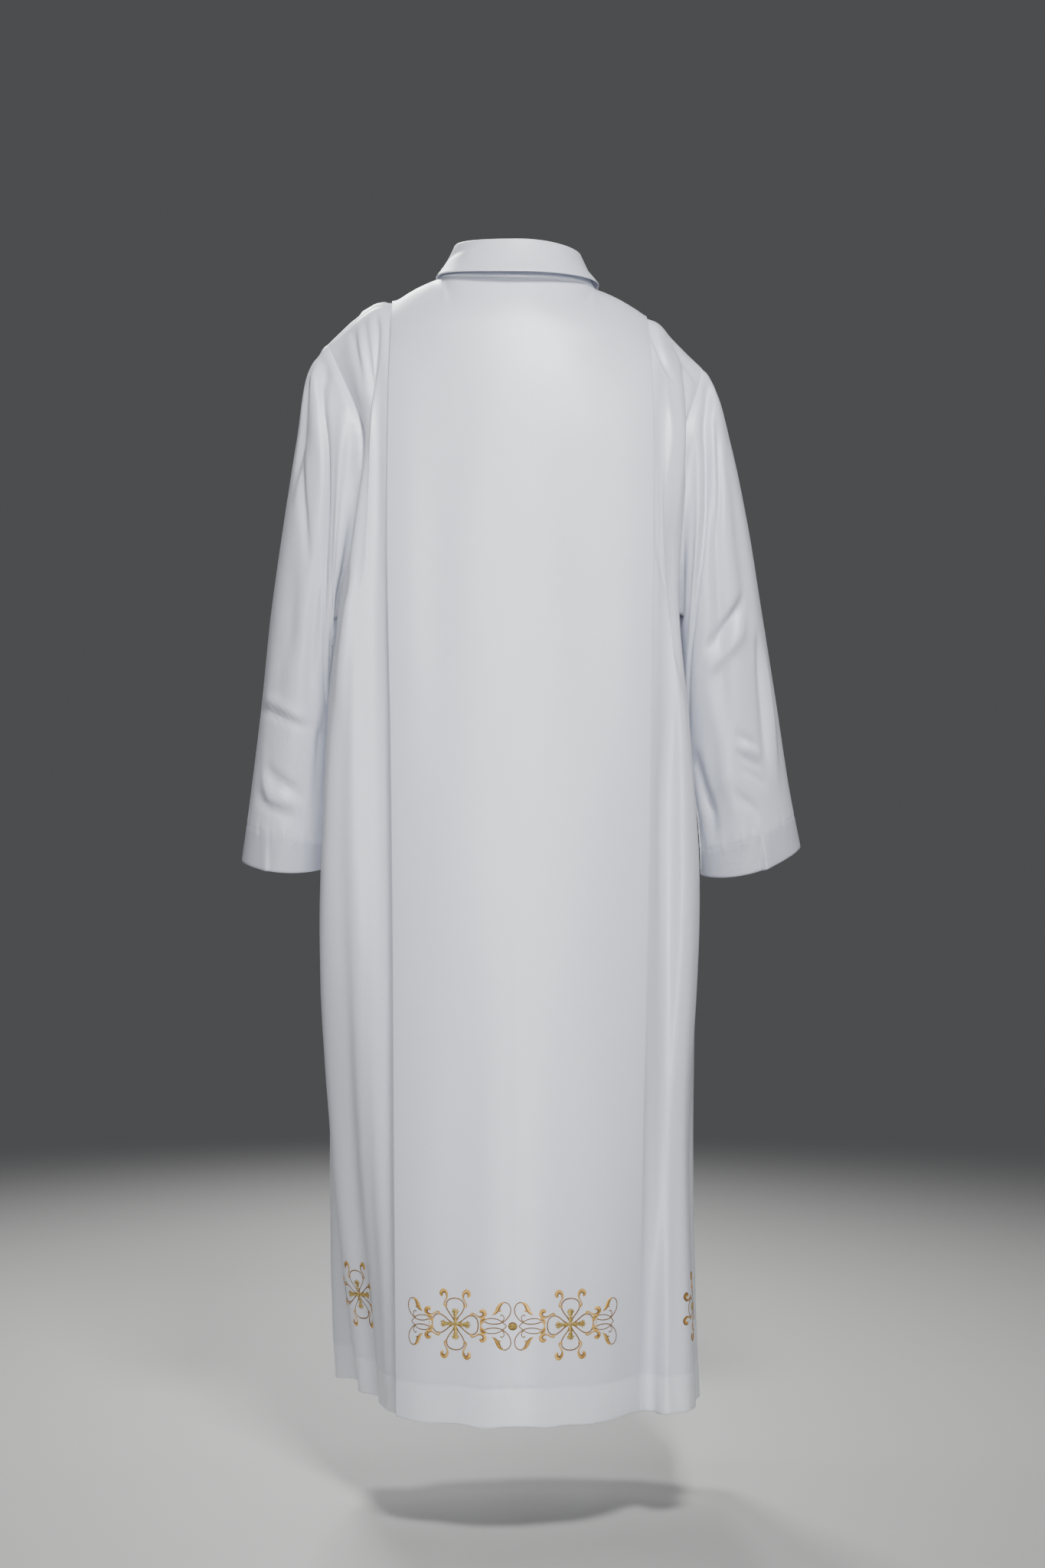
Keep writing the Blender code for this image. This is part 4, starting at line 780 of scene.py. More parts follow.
@dataclass
class Cloth:
    """Grid of cloth: points of its middle layer, the way to its right side, and places on the flat cut."""

    points: Array
    out: Array
    across: Array
    down: Array
    double: Array
    closed: bool = False

    def place(self, across: Array, down: Array) -> tuple[Array, Array]:
        """Points and normals on the cloth's right side, by straight shares between its grid points.

        Args:
            across: Places across, in metres.
            down: Places down, in metres.

        Returns:
            The points and the unit normals.
        """
        rows = np.interp(down, self.down[:, 0], np.arange(len(self.down)))
        low = np.clip(rows.astype(int), 0, len(self.down) - 2)
        share = rows - low
        level = self.across[low] * (1 - share)[:, None] + self.across[low + 1] * share[:, None]
        left = np.clip(np.sum(level <= across[:, None], axis=1) - 1, 0, level.shape[1] - 2)
        pick = np.arange(len(left))
        span = level[pick, left + 1] - level[pick, left]
        part = np.clip((across - level[pick, left]) / np.maximum(span, 1e-9), 0.0, 1.0)
        corners = (
            (low, left, (1 - share) * (1 - part)),
            (low, left + 1, (1 - share) * part),
            (low + 1, left, share * (1 - part)),
            (low + 1, left + 1, share * part),
        )
        spot = sum(self.points[r, c] * w[:, None] for r, c, w in corners)
        way = unit(sum(self.out[r, c] * w[:, None] for r, c, w in corners))
        return spot + way * CLOTH_WALL / 2, way

    def part(self, columns: slice, start: Array | None = None) -> "Cloth":
        """The columns of the cloth that a pattern lies on, measured across from start."""
        across = self.across[:, columns]
        across = across - (across[:, :1] if start is None else start)
        kept = (grid[:, columns] for grid in (self.points, self.out, self.down, self.double))
        points, out, down, double = kept
        return Cloth(points, out, across, down, double)

    def mesh(self, name: str, wall: float = CLOTH_WALL) -> bpy.types.Mesh:
        """Closed shell: a right side and a wrong side of the grid, joined round the free edges.

        The wrong side stands half the wall inside the middle layer, and further where the cloth is
        double. A rim bulges half its own thickness past the edge, so a folded edge is round.

        Args:
            name: Name of the mesh.
            wall: Thickness of the single cloth.

        Returns:
            The mesh, with its flat cut as UV map in metres and the double cloth as an attribute.
        """
        points, out, across, down, double = self.points, self.out, self.across, self.down, self.double
        rows, columns = points.shape[:2]
        thick = wall + HEM_EXTRA * double
        outer = points + out * wall / 2
        inner = points - out * (thick - wall / 2)[..., None]
        index = numbered(rows, columns)
        flat = np.stack([across, -down], axis=-1)
        if self.closed:
            index = ringed(index)
            girth = across[:, -1:] + np.linalg.norm(points[:, :1] - points[:, -1:], axis=-1)
            flat = np.concatenate([flat, np.stack([girth, -down[:, :1]], axis=-1)], axis=1)
        under = index + rows * columns
        places = numbered(*index.shape)
        vertices = [outer.reshape(-1, 3), inner.reshape(-1, 3)]
        values = [double.ravel(), double.ravel()]
        faces = [cells(index), cells(under)[:, ::-1]]
        flats = [cells(places), cells(places)[:, ::-1]]
        edges = [(np.s_[0], np.s_[1]), (np.s_[-1], np.s_[-2])]
        if not self.closed:
            edges += [(np.s_[:, 0], np.s_[:, 1]), (np.s_[:, -1], np.s_[:, -2])]
        count = 2 * rows * columns
        for number, (edge, inside) in enumerate(edges):
            way = unit(points[edge] - points[inside])
            middle = 0.5 * (outer[edge] + inner[edge]) + way * 0.5 * thick[edge][:, None]
            line = np.arange(len(middle)) + count
            if self.closed:
                line = np.concatenate([line, line[:1]])
            count += len(middle)
            vertices.append(middle)
            values.append(double[edge])
            top, low = index[edge], under[edge]
            forward = number in (0, 3)
            pairs = ((top, line), (line, low)) if forward else ((line, top), (low, line))
            for first, second in pairs:
                faces.append(strip(first, second))
                flats.append(strip(places[edge], places[edge]))
        corners = np.concatenate(faces)
        flat_corners = np.concatenate(flats)
        spots = np.concatenate(vertices)
        a, b, c, d = (spots[corners[:, i]] for i in range(4))
        if np.sum(a * np.cross(b, c)) + np.sum(a * np.cross(c, d)) < 0:
            corners, flat_corners = corners[:, ::-1], flat_corners[:, ::-1]
        mesh = mesh_from(name, spots, corners, flat.reshape(-1, 2)[flat_corners.ravel()])
        attribute = mesh.attributes.new(DOUBLE, "FLOAT", "POINT")
        attribute.data.foreach_set("value", np.concatenate(values).astype(np.float32))
        return mesh


def mesh_from(name: str, points: Array, faces: Array, uv: Array | None = None) -> bpy.types.Mesh:
    """Smooth mesh from points, four-sided faces and the UV place of each face corner."""
    mesh = bpy.data.meshes.new(name)
    mesh.from_pydata(points.tolist(), [], faces.tolist())
    if uv is not None:
        layer = mesh.uv_layers.new(name=UV_NAME)
        layer.data.foreach_set("uv", np.asarray(uv, np.float32).ravel())
    mesh.shade_smooth()
    mesh.update()
    return mesh


def tucked(points: Array, out: Array, depth: float) -> tuple[Array, Array]:
    """Rolls the last column of a grid in, as a seam's edge is.

    The edge is pulled back by the roll's radius, turns a quarter circle in three steps and then goes
    straight in by the depth.

    Args:
        points: Grid of points, its last column the edge.
        out: The way to the cloth's right side at each point.
        depth: How far the edge goes in after the roll.

    Returns:
        The grid and the ways, with four more columns.
    """
    way = unit(points[:, -1] - points[:, -2])
    up = square(out[:, -1], way)
    points = points.copy()
    points[:, -1] -= way * TUCK_RADIUS
    more, ways = [], []
    for angle in map(math.radians, TUCK_TURNS):
        more.append(points[:, -1] + TUCK_RADIUS * (way * math.sin(angle) - up * (1 - math.cos(angle))))
        ways.append(way * math.sin(angle) + up * math.cos(angle))
    more.append(more[-1] - up * depth)
    ways.append(ways[-1])
    return (
        np.concatenate([points, np.stack(more, axis=1)], axis=1),
        np.concatenate([out, np.stack(ways, axis=1)], axis=1),
    )


@dataclass
class HalfPanel:
    """One half of the back or of the front: its middle part, its pleat and its side part."""

    face: Face
    side: Side
    other: "HalfPanel | None" = None
    centre: Array = field(init=False)
    quarters: Array = field(init=False)
    edges: Array = field(init=False)

    def __post_init__(self) -> None:
        """Takes the half's own rows of the tables."""
        self.centre = CENTRE[self.face]
        self.quarters = QUARTERS[(self.face, self.side)]
        self.edges = np.array(ARMHOLE[(self.face, self.side)] + SIDE_SEAM[self.side])

    def seam_row(self, shares: Array) -> Array:
        """Top line: the neckline's oval, then a straight shoulder seam that rises a little to the pleat."""
        turn = 90.0 * np.clip(shares / NECK_POINT_SHARE, 0.0, 1.0)
        if self.face is Face.FRONT:
            turn = 180.0 - turn
        neck_point = neckline(self.side, 90.0)
        along = np.clip((shares - NECK_POINT_SHARE) / (1.0 - NECK_POINT_SHARE), 0.0, 1.0)[:, None]
        shoulder = neck_point + (self.quarters[0, :3] - neck_point) * along
        shoulder[:, 2] += SHOULDER_RISE * 4 * (along * (1.0 - along))[:, 0]
        return np.where(along > 0.0, shoulder, neckline(self.side, turn))

    def level_row(self, level: int, shares: Array) -> Array:
        """Level line: even steps in x, and y and z that fall by a power of the share to the pleat."""
        y, z = self.centre[level]
        pleat = self.quarters[level, :3]
        return np.stack(
            [pleat[0] * shares, y + (pleat[1] - y) * shares**PANEL_ROUNDING, z + (pleat[2] - z) * shares**2],
            axis=-1,
        )

    def middle(self, shares: Array, rows: Array) -> Array:
        """Middle part: a smooth curve down through the level lines at each share of the half width."""
        lines = [self.seam_row(shares)]
        lines += [self.level_row(level, shares) for level in range(1, len(LEVELS))]
        beyond_level = self.other.level_row(1, shares)
        beyond_neck = 2 * lines[0] - lines[1]
        share = smooth_share(shares, NECK_POINT_SHARE * 0.8, NECK_POINT_SHARE)[:, None]
        ghost = beyond_neck + (beyond_level - beyond_neck) * share
        return through((-LEVELS[1],) + LEVELS, np.stack([ghost] + lines), rows)

    def frame(self, shares: Array, rows: Array) -> tuple[Array, Array]:
        """Outward ways of the middle part, by slopes over short steps, and its slopes across."""
        step = 0.002
        wider = self.middle(np.minimum(shares + step, 1.0), rows)
        across = wider - self.middle(np.maximum(shares - step, 0.0), rows)
        down = self.middle(shares, rows + step) - self.middle(shares, rows - step)
        outward = unit(np.cross(across, down))
        turned = (self.face is Face.BACK) != (self.side is Side.LEFT)
        return (-outward if turned else outward), across

    def stations(self) -> Array:
        """Hollow, crest, flank and edge of the side part at each level, the heights by a droop power."""
        drop = self.edges[:, 2] - self.quarters[:, 2]
        table = []
        for column, station in ((3, 1), (5, 2), (7, 3)):
            height = self.quarters[:, 2] + drop * SIDE_STATIONS[station] ** SHOULDER_DROOP[self.side]
            table.append(np.column_stack([self.quarters[:, column : column + 2], height]))
        return np.stack(table + [self.edges], axis=1)

    def side_part(self, base: Array, shares: Array, rows: Array) -> Array:
        """Side part: a smooth curve across from the pleat's bottom layer through the stations."""
        own = self.stations()
        beyond = self.other.stations()[1]
        lines = through((-LEVELS[1],) + LEVELS, np.concatenate([beyond[None], own]), rows)
        side_seam = through(LEVELS[UNDERARM_LEVEL:], own[UNDERARM_LEVEL:, -1], rows)
        below = (rows > LEVELS[UNDERARM_LEVEL])[:, None]
        lines[:, -1] = np.where(below, side_seam, lines[:, -1])
        points = np.concatenate([base[None], lines.transpose(1, 0, 2)])
        return through(SIDE_STATIONS, points, shares).transpose(1, 0, 2)

    def grid(self, rows: Array, centre_shares: Array, side_shares: Array) -> tuple[Array, Array, int]:
        """Creased half panel from its middle out to its edge.

        The pleat is three layers on one form: out to its edge, back under itself by the pleat's depth,
        and out again, joined by two half circles of the fold's radius.

        Args:
            rows: Distances down the panel.
            centre_shares: Shares of the half width in the middle part, up to the neck point.
            side_shares: Shares across the side part, after the pleat.

        Returns:
            The points, the ways to the cloth's right side, and the column where the side part starts.
        """
        r = FOLD_RADIUS[self.side]
        near = 1.0 - r / PLEAT_HALF_WIDTH
        far = 1.0 - (PLEAT_DEPTH - r) / PLEAT_HALF_WIDTH
        layer = np.linspace(far, near, PLEAT_COLUMNS)
        shares = np.concatenate([centre_shares, layer, [1.0]])
        flat, outward, along = self.creased_middle(shares, rows, len(centre_shares) - 1)
        points, ways = self.pleated(flat, outward, along, len(centre_shares))
        base = flat[:, -1] - 4 * r * outward[:, -1]
        side, side_out = self.creased_side(base, outward[:, -1], side_shares, rows)
        grid = np.concatenate([points, side], axis=1)
        grid[..., 2] += hem_rise(grid[..., 0] * (1.0 if self.face is Face.BACK else 0.8), rows[:, None])
        return grid, np.concatenate([ways, side_out], axis=1), points.shape[1]

    def creased_middle(self, shares: Array, rows: Array, sewn: int) -> tuple[Array, Array, Array]:
        """Middle part with its creases, sewn at the top from the column sewn on.

        Args:
            shares: Shares of the half width.
            rows: Distances down the panel.
            sewn: First column of the shoulder seam.

        Returns:
            The points, the ways to the right side and the ways across the cloth.
        """
        flat = self.middle(shares, rows)
        outward, across = self.frame(shares, rows)
        facing = self.other.frame(shares, rows[:1])[0]
        outward[0, sewn:] = unit(outward[0, sewn:] + facing[0, sewn:])
        along = square(across, outward)
        reach = np.abs(flat[..., 0])
        down = np.repeat(rows[:, None], len(shares), axis=1)
        height = pressed(MIDDLE_CREASES[(self.face, self.side)], reach, down) * smooth_share(down, *TOP_EASE)
        height += sewn_line(reach, down - HEM_LINE, 1.0 + self.side.sign)
        height += seam_puckers(reach * 0.8, down, 0.010, 2.0)
        return flat + outward * height[..., None], outward, along

    def pleated(self, flat: Array, outward: Array, along: Array, first: int) -> tuple[Array, Array]:
        """Folds the columns from first on into a pleat, and returns its points and ways.

        The last column of the flat cloth is the pleat's edge and isn't folded itself.
        """
        r = FOLD_RADIUS[self.side]
        last = flat.shape[1] - 2
        arcs = np.radians(np.linspace(0.0, 180.0, PLEAT_ARC + 2)[1:-1])
        points = [flat[:, i] for i in range(last + 1)]
        ways = [outward[:, i] for i in range(last + 1)]
        for angle in arcs:
            ray = math.sin(angle) * along[:, last] + math.cos(angle) * outward[:, last]
            points.append(flat[:, last] - r * outward[:, last] + r * ray)
            ways.append(ray)
        for i in range(last, first - 1, -1):
            points.append(flat[:, i] - 2 * r * outward[:, i])
            ways.append(-outward[:, i])
        for angle in arcs:
            ray = -math.sin(angle) * along[:, first] + math.cos(angle) * outward[:, first]
            points.append(flat[:, first] - 3 * r * outward[:, first] + r * ray)
            ways.append(-ray)
        for i in range(first, last + 1):
            points.append(flat[:, i] - 4 * r * outward[:, i])
            ways.append(outward[:, i])
        return np.stack(points, axis=1), np.stack(ways, axis=1)

    def creased_side(self, base: Array, beside: Array, shares: Array, rows: Array) -> tuple[Array, Array]:
        """Side part with its creases, its hollow beside the pleat and the puckers of its seam.

        Args:
            base: Points where it leaves the pleat's bottom layer.
            beside: The pleat's ways to the right side there.
            shares: Shares across the side part.
            rows: Distances down the panel.

        Returns:
            The points and the ways to the right side.
        """
        side = self.side_part(base, shares, rows)
        out = face_normals(side)
        if np.sum(out[:, 0] * beside) < 0:
            out = -out
        out[:, 0] = unit(out[:, 0] + beside)
        wide = arc_length(side, 1)
        from_edge = wide[:, -1:] - wide
        deep = np.repeat(rows[:, None], len(shares), axis=1)
        lift = pressed(SIDE_CREASES[(self.face, self.side)], wide, deep)
        lift -= PLEAT_DIP[self.side] * np.exp(-wide / DIP_REACH)
        hollow = smooth_share(wide, *HOLLOW_IN) * (1.0 - smooth_share(wide, *HOLLOW_OUT))
        ending = smooth_share(-deep, -HOLLOW_END[1], -HOLLOW_END[0])
        lift -= SIDE_FALL[self.side] * hollow * smooth_share(deep, *HOLLOW_START) * ending
        lift *= smooth_share(wide, *PLEAT_EASE) * smooth_share(from_edge, *EDGE_EASE)
        lift *= smooth_share(deep, *TOP_EASE)
        lift += seam_puckers(deep * 0.9, from_edge, 0.009, 0.5)
        lift += sewn_line(wide, deep - HEM_LINE, 3.0)
        return side + out * lift[..., None], out


def pulled(edge: Array, inward: Array, cosine: Array) -> Array:
    """Edge points moved inward by half the seam's gap and the mitre of two walls at an angle."""
    half_angle = 0.5 * np.arccos(np.clip(cosine, -1.0, 1.0))
    mitre = 0.5 * CLOTH_WALL / np.tan(np.maximum(half_angle, LEAST_HALF_ANGLE))
    return edge + inward * (0.5 * SEAM_GAP + np.minimum(mitre, MOST_MITRE))[..., None]


def part_seam(first: Array, inside_first: Array, second: Array, inside_second: Array) -> tuple[Array, Array]:
    """Edge points of two walls moved apart along their own surfaces."""
    way_a = unit(inside_first - first)
    way_b = unit(inside_second - second)
    cosine = np.sum(way_a * way_b, axis=-1)
    return pulled(first, way_a, cosine), pulled(second, way_b, cosine)


@dataclass
class Body:
    """The four half panels on fine grids, parted at the shoulders and sides, and the armholes."""

    top_rows: int = 68
    mid_rows: int = 100
    hem_rows: int = 44
    centre_columns: int = 26
    side_columns: int = 30
    hem_from: float = 1.3
    grids: dict[tuple[Face, Side], list[Array]] = field(default_factory=dict)
    loops: dict[Side, tuple[Array, Array, Array]] = field(default_factory=dict)
    side_start: int = 0
    pleat_start: int = 0
    rows: Array = field(init=False)

    def __post_init__(self) -> None:
        """Spaces the level lines: close at the top and at the hem, wider between them."""
        top = np.linspace(0.0, LEVELS[UNDERARM_LEVEL], self.top_rows)
        mid = np.linspace(LEVELS[UNDERARM_LEVEL], self.hem_from, self.mid_rows)[1:]
        hem = np.linspace(self.hem_from, HEM_DOWN, self.hem_rows)[1:]
        self.rows = np.concatenate([top, mid, hem])

    def build(self) -> None:
        """Builds the halves, keeps the armholes' edges and parts the seams."""
        halves = {(face, side): HalfPanel(face, side) for face in Face for side in Side}
        neck = np.linspace(0.0, NECK_POINT_SHARE, self.centre_columns)
        share = np.linspace(0.0, 1.0, self.side_columns + 1)
        for (face, side), half in halves.items():
            half.other = halves[(Face.FRONT if face is Face.BACK else Face.BACK, side)]
        for key, half in halves.items():
            points, ways, start = half.grid(self.rows, neck, share)
            self.grids[key] = [points, ways]
            self.side_start = start
        self.pleat_start = len(neck)
        seam = slice(len(neck) - 1, None)
        low = slice(self.top_rows - 1, None)
        for side in Side:
            back, back_out = self.grids[(Face.BACK, side)]
            front, front_out = self.grids[(Face.FRONT, side)]
            self.loops[side] = self.armhole(back, back_out, front, front_out)
            shared = unit(back_out[0, seam] + front_out[0, seam])
            for out in (back_out, front_out):
                turned = np.sum(out[0, seam] * shared, axis=-1, keepdims=True) < 0
                out[0, seam] = np.where(turned, -shared, shared)
            for edge, inside in ((np.s_[0, seam], np.s_[1, seam]), (np.s_[low, -1], np.s_[low, -2])):
                back[edge], front[edge] = part_seam(back[edge], back[inside], front[edge], front[inside])

    def armhole(
        self, back: Array, back_out: Array, front: Array, front_out: Array
    ) -> tuple[Array, Array, Array]:
        """Armhole points from the shoulder down the back and up the front, their ways and inner points."""
        rows = self.top_rows
        points = np.concatenate([back[:rows, -1], front[rows - 2 : 0 : -1, -1]])
        out = np.concatenate([back_out[:rows, -1], front_out[rows - 2 : 0 : -1, -1]])
        inner = np.concatenate([back[:rows, -2], front[rows - 2 : 0 : -1, -2]])
        out[0] = unit(back_out[0, -1] + front_out[0, -1])
        inner[rows - 1] = points[rows - 1] + np.array([0.0, 0.0, -0.02])
        out[rows - 1] = unit(back_out[rows - 1, -1] + front_out[rows - 1, -1])
        return points, out, inner

    def half_cloth(self, face: Face, side: Side) -> Cloth:
        """One half as cloth, its edge tucked in, measured across from its middle."""
        points, out = self.grids[(face, side)]
        points, out = tucked(points, out, TUCK_DEPTH)
        across = arc_length(points, 1)
        down = np.repeat(self.rows[:, None], points.shape[1], axis=1)
        double = smooth_share(down, HEM_LINE - 0.0006, HEM_LINE + 0.0006)
        return Cloth(points, out, across, down, double)

    def back_cloth(self) -> Cloth:
        """Both back halves as one cloth, measured across from the middle, the left side positive."""
        left = self.half_cloth(Face.BACK, Side.LEFT)
        right = self.half_cloth(Face.BACK, Side.RIGHT)

        def joined(a: Array, b: Array, sign: float = 1.0) -> Array:
            """The right half reversed, then the left half, with the middle once."""
            return np.concatenate([sign * b[:, :0:-1], a], axis=1)

        return Cloth(
            joined(left.points, right.points),
            joined(left.out, right.out),
            joined(left.across, right.across, -1.0),
            joined(left.down, right.down),
            joined(left.double, right.double),
        )


@dataclass
class Sleeve:
    """One sleeve, from its armhole through its rings to the cuff."""

    side: Side
    upper_rows: int = 90
    cuff_rows: int = 22
    cuff_from: float = 0.90
    crowding: float = 1.15
    swell: float = 0.0022
    swell_wave: float = 0.00055
    swell_middle: float = 0.009
    swell_spread: float = 0.008
    least_half_angle: float = 0.15

    def cloth(self, loop: tuple[Array, Array, Array]) -> Cloth:
        """Creased tube of cloth.

        Each column leaves the body square to the seam and runs as a smooth curve through its ring
        points. A ring is an oval: its mean, a cosine and a sine part and a small square part.

        Args:
            loop: Armhole points, the body's outward ways and its points inside the edge.

        Returns:
            The cloth, its columns round the sleeve and its rows down it.
        """
        seam, body_out, body_inner = (self.finer(line) for line in loop)
        turn = self.turns(seam)
        lower = [self.ring(row, turn) for row in RINGS[self.side]]
        start, leave = self.leaving(seam, body_out, body_inner, lower[0])
        lines = np.stack([start, start + SLEEVE_START * leave] + lower)
        knots = running(np.linalg.norm(np.diff(lines, axis=0), axis=-1).mean(axis=1))
        upper = np.linspace(0.0, 1.0, self.upper_rows) ** self.crowding * self.cuff_from
        shares = np.concatenate([upper, np.linspace(self.cuff_from, 1.0, self.cuff_rows)[1:]])
        grid = through(knots / knots[-1], lines, shares)
        out = self.normals(grid)
        degrees = np.degrees(turn)[None, :] * np.ones((len(shares), 1))
        down = np.repeat(shares[:, None], len(turn), axis=1)
        girth = np.linalg.norm(np.roll(grid, -1, axis=1) - grid, axis=-1).sum(axis=1, keepdims=True)
        around = degrees * girth / 360.0
        creases = pressed(SLEEVE_CREASES[self.side], degrees, down, girth / 360.0, SLEEVE_LENGTH)
        height = self.long_folds(degrees, shares)
        height += creases * smooth_share(down, 0.0, 0.03)
        height += sewn_line(around, (down - CUFF_LINE) * SLEEVE_LENGTH, 1.5)
        away = down * SLEEVE_LENGTH
        swell = self.swell + self.swell_wave * ripple(around * 0.7, 4.0)
        height += swell * bell(away - self.swell_middle, self.swell_spread) * smooth_share(away, 0.0, 0.006)
        grid = grid + out * height[..., None]
        double = smooth_share(down, CUFF_LINE - 0.001, CUFF_LINE + 0.001)
        return Cloth(grid, self.normals(grid), around, away, double, closed=True)

    def turns(self, seam: Array) -> Array:
        """Turn of each armhole point in radians, by its distance: half a turn down the back, half up."""
        reach = np.linalg.norm(np.diff(np.concatenate([seam, seam[:1]]), axis=0), axis=-1)
        half = len(seam) // 2
        turn = np.empty(len(seam))
        turn[: half + 1] = math.pi * running(reach[:half]) / reach[:half].sum()
        turn[half:] = math.pi * (1 + running(reach[half:-1]) / reach[half:].sum())
        return turn

    def leaving(self, seam: Array, body_out: Array, body_inner: Array, ring: Array) -> tuple[Array, Array]:
        """Where each column starts, clear of the body's wall and seam, and the way in which it leaves.

        Args:
            seam: Armhole points.
            body_out: The body's outward ways there.
            body_inner: The body's points inside the edge.
            ring: Points of the first ring.

        Returns:
            The starting points and the unit ways.
        """
        tangent = unit(np.roll(seam, -1, axis=0) - np.roll(seam, 1, axis=0))
        into = np.cross(body_out, tangent)
        into = unit(into * np.sign(np.sum(into * (body_inner - seam), axis=-1, keepdims=True)))
        leave = square(ring - seam, tangent)
        lift = np.clip(np.sum(into * leave, axis=-1, keepdims=True), 0.0, 1.0)
        leave = square(leave + SLEEVE_LIFT * lift * body_out, tangent)
        cosine = np.sum(into * leave, axis=-1)
        sine = np.sqrt(np.maximum(1.0 - np.maximum(cosine, 0.0) ** 2, 0.05))
        half_angle = np.maximum(0.5 * np.arccos(np.clip(cosine, -1.0, 1.0)), self.least_half_angle)
        gap = 0.5 * CLOTH_WALL / np.tan(half_angle) + SLEEVE_SEAM_GAP / sine
        return seam + leave * gap[:, None], leave

    def finer(self, line: Array) -> Array:
        """Closed line with a place added halfway along each step."""
        return np.stack([line, 0.5 * (line + np.roll(line, -1, axis=0))], axis=1).reshape(-1, 3)

    def ring(self, row: Array, turn: Array) -> Array:
        """Oval through a ring's outer, back, inner and front points."""
        outer, back, inner, front = row.reshape(4, 3)
        turn = turn[:, None]
        return (
            (outer + back + inner + front) / 4
            + 0.5 * (outer - inner) * np.cos(turn)
            + 0.5 * (back - front) * np.sin(turn)
            + (outer + inner - back - front) / 4 * np.cos(2 * turn)
        )

    def normals(self, grid: Array) -> Array:
        """Outward normals of the tube: the cross product of the slopes round and down it."""
        around = np.roll(grid, -1, axis=1) - np.roll(grid, 1, axis=1)
        out = unit(np.cross(around, np.gradient(grid, axis=0)))
        away = grid - grid.mean(axis=1, keepdims=True)
        return -out if np.sum(out * away) < 0 else out

    def long_folds(self, degrees: Array, shares: Array) -> Array:
        """Long troughs: each a bell across its own slanting line, fading as a sine along it."""
        total = np.zeros(degrees.shape)
        for turn_top, turn_low, start, end, depth, spread in SLEEVE_FOLDS[self.side]:
            along = np.clip((shares - start) / (end - start), 0.0, 1.0)
            centre = turn_top + (turn_low - turn_top) * along
            away = (degrees - centre[:, None] + 180.0) % 360.0 - 180.0
            fade = np.sin(math.pi * along) ** 0.7
            total -= depth * fade[:, None] * bell(away, spread)
        return total


@dataclass
class Collar:
    """The fold-over collar: a stand up to the fold and a fall down to its outer edge."""

    columns: int = 180
    stand_steps: int = 12
    fall_steps: int = 22
    fold_radius: float = 0.0022
    bulge: float = -0.0020
    point_turn: float = 150.0
    point_drop: float = 0.016
    point_spread: float = 16.0
    point_lean: float = 0.3
    end_x: float = 0.0008
    degree_length: float = 0.0016
    fall_length: float = 0.05

    def line(self, sizes: tuple[float, ...], turn: Array) -> Array:
        """Line round the neck: an oval whose height goes by the squared sine of the turn."""
        half_width, back_y, front_y, back_z, left_z, right_z, front_z = sizes
        angle = np.radians(turn)
        side_z = np.where(turn >= 0.0, left_z, right_z)
        end_z = np.where(np.abs(turn) <= 90.0, back_z, front_z)
        z = end_z + (side_z - end_z) * np.sin(angle) ** 2
        y = 0.5 * (back_y + front_y) + 0.5 * (back_y - front_y) * np.cos(angle)
        return np.stack([half_width * np.sin(angle), y, z], axis=-1)

    def cloth(self) -> Cloth:
        """Creased collar: the stand, a half circle over the fold, and the fall with a slight hollow."""
        turn = np.linspace(-180.0, 180.0, self.columns + 1)
        left, right = (neckline(side, np.abs(turn)) for side in Side)
        base = np.where((turn >= 0.0)[:, None], left, right)
        crease = self.line(COLLAR_FOLD, turn)
        edge = self.line(COLLAR_EDGE, turn)
        point = self.point_drop * bell(np.abs(turn) - self.point_turn, self.point_spread)
        edge[:, 2] -= point
        edge[:, 1] -= self.point_lean * point
        outward = crease - crease.mean(axis=0)
        outward[:, 2] = 0.0
        outward = unit(outward)
        up = np.array([0.0, 0.0, 1.0])
        r = self.fold_radius
        foot = base + unit(crease - base) * (SEAM_GAP + 0.5 * SOLID_WALL)
        head = crease - r * outward
        rows = [foot + (head - foot) * share for share in np.linspace(0.0, 1.0, self.stand_steps)]
        for angle in np.radians(np.linspace(0.0, 180.0, 10)[1:-1]):
            rows.append(crease + r * (-math.cos(angle) * outward + math.sin(angle) * up))
        top = crease + r * outward
        for share in np.linspace(0.0, 1.0, self.fall_steps):
            rows.append(top + (edge - top) * share + self.bulge * math.sin(math.pi * share) * outward)
        grid = np.stack(rows, axis=1)
        grid[0, :, 0] = -self.end_x
        grid[-1, :, 0] = self.end_x
        out = face_normals(grid)
        if np.sum(out[:, -1] * outward) < 0:
            out = -out
        shares = (np.arange(grid.shape[1]) - (grid.shape[1] - self.fall_steps)) / (self.fall_steps - 1)
        turns = np.repeat(turn[:, None], grid.shape[1], axis=1)
        falls = np.repeat(np.clip(shares, 0.0, 1.0)[None, :], grid.shape[0], axis=0)
        height = pressed(COLLAR_CREASES, turns, falls, self.degree_length, self.fall_length)
        height *= smooth_share(falls, 0.0, 0.12)
        grid = grid + out * height[..., None]
        grid, out = grid.transpose(1, 0, 2), out.transpose(1, 0, 2)
        around = arc_length(grid, 1)
        return Cloth(grid, out, around - around[:, -1:] / 2, arc_length(grid, 0), np.zeros(around.shape))


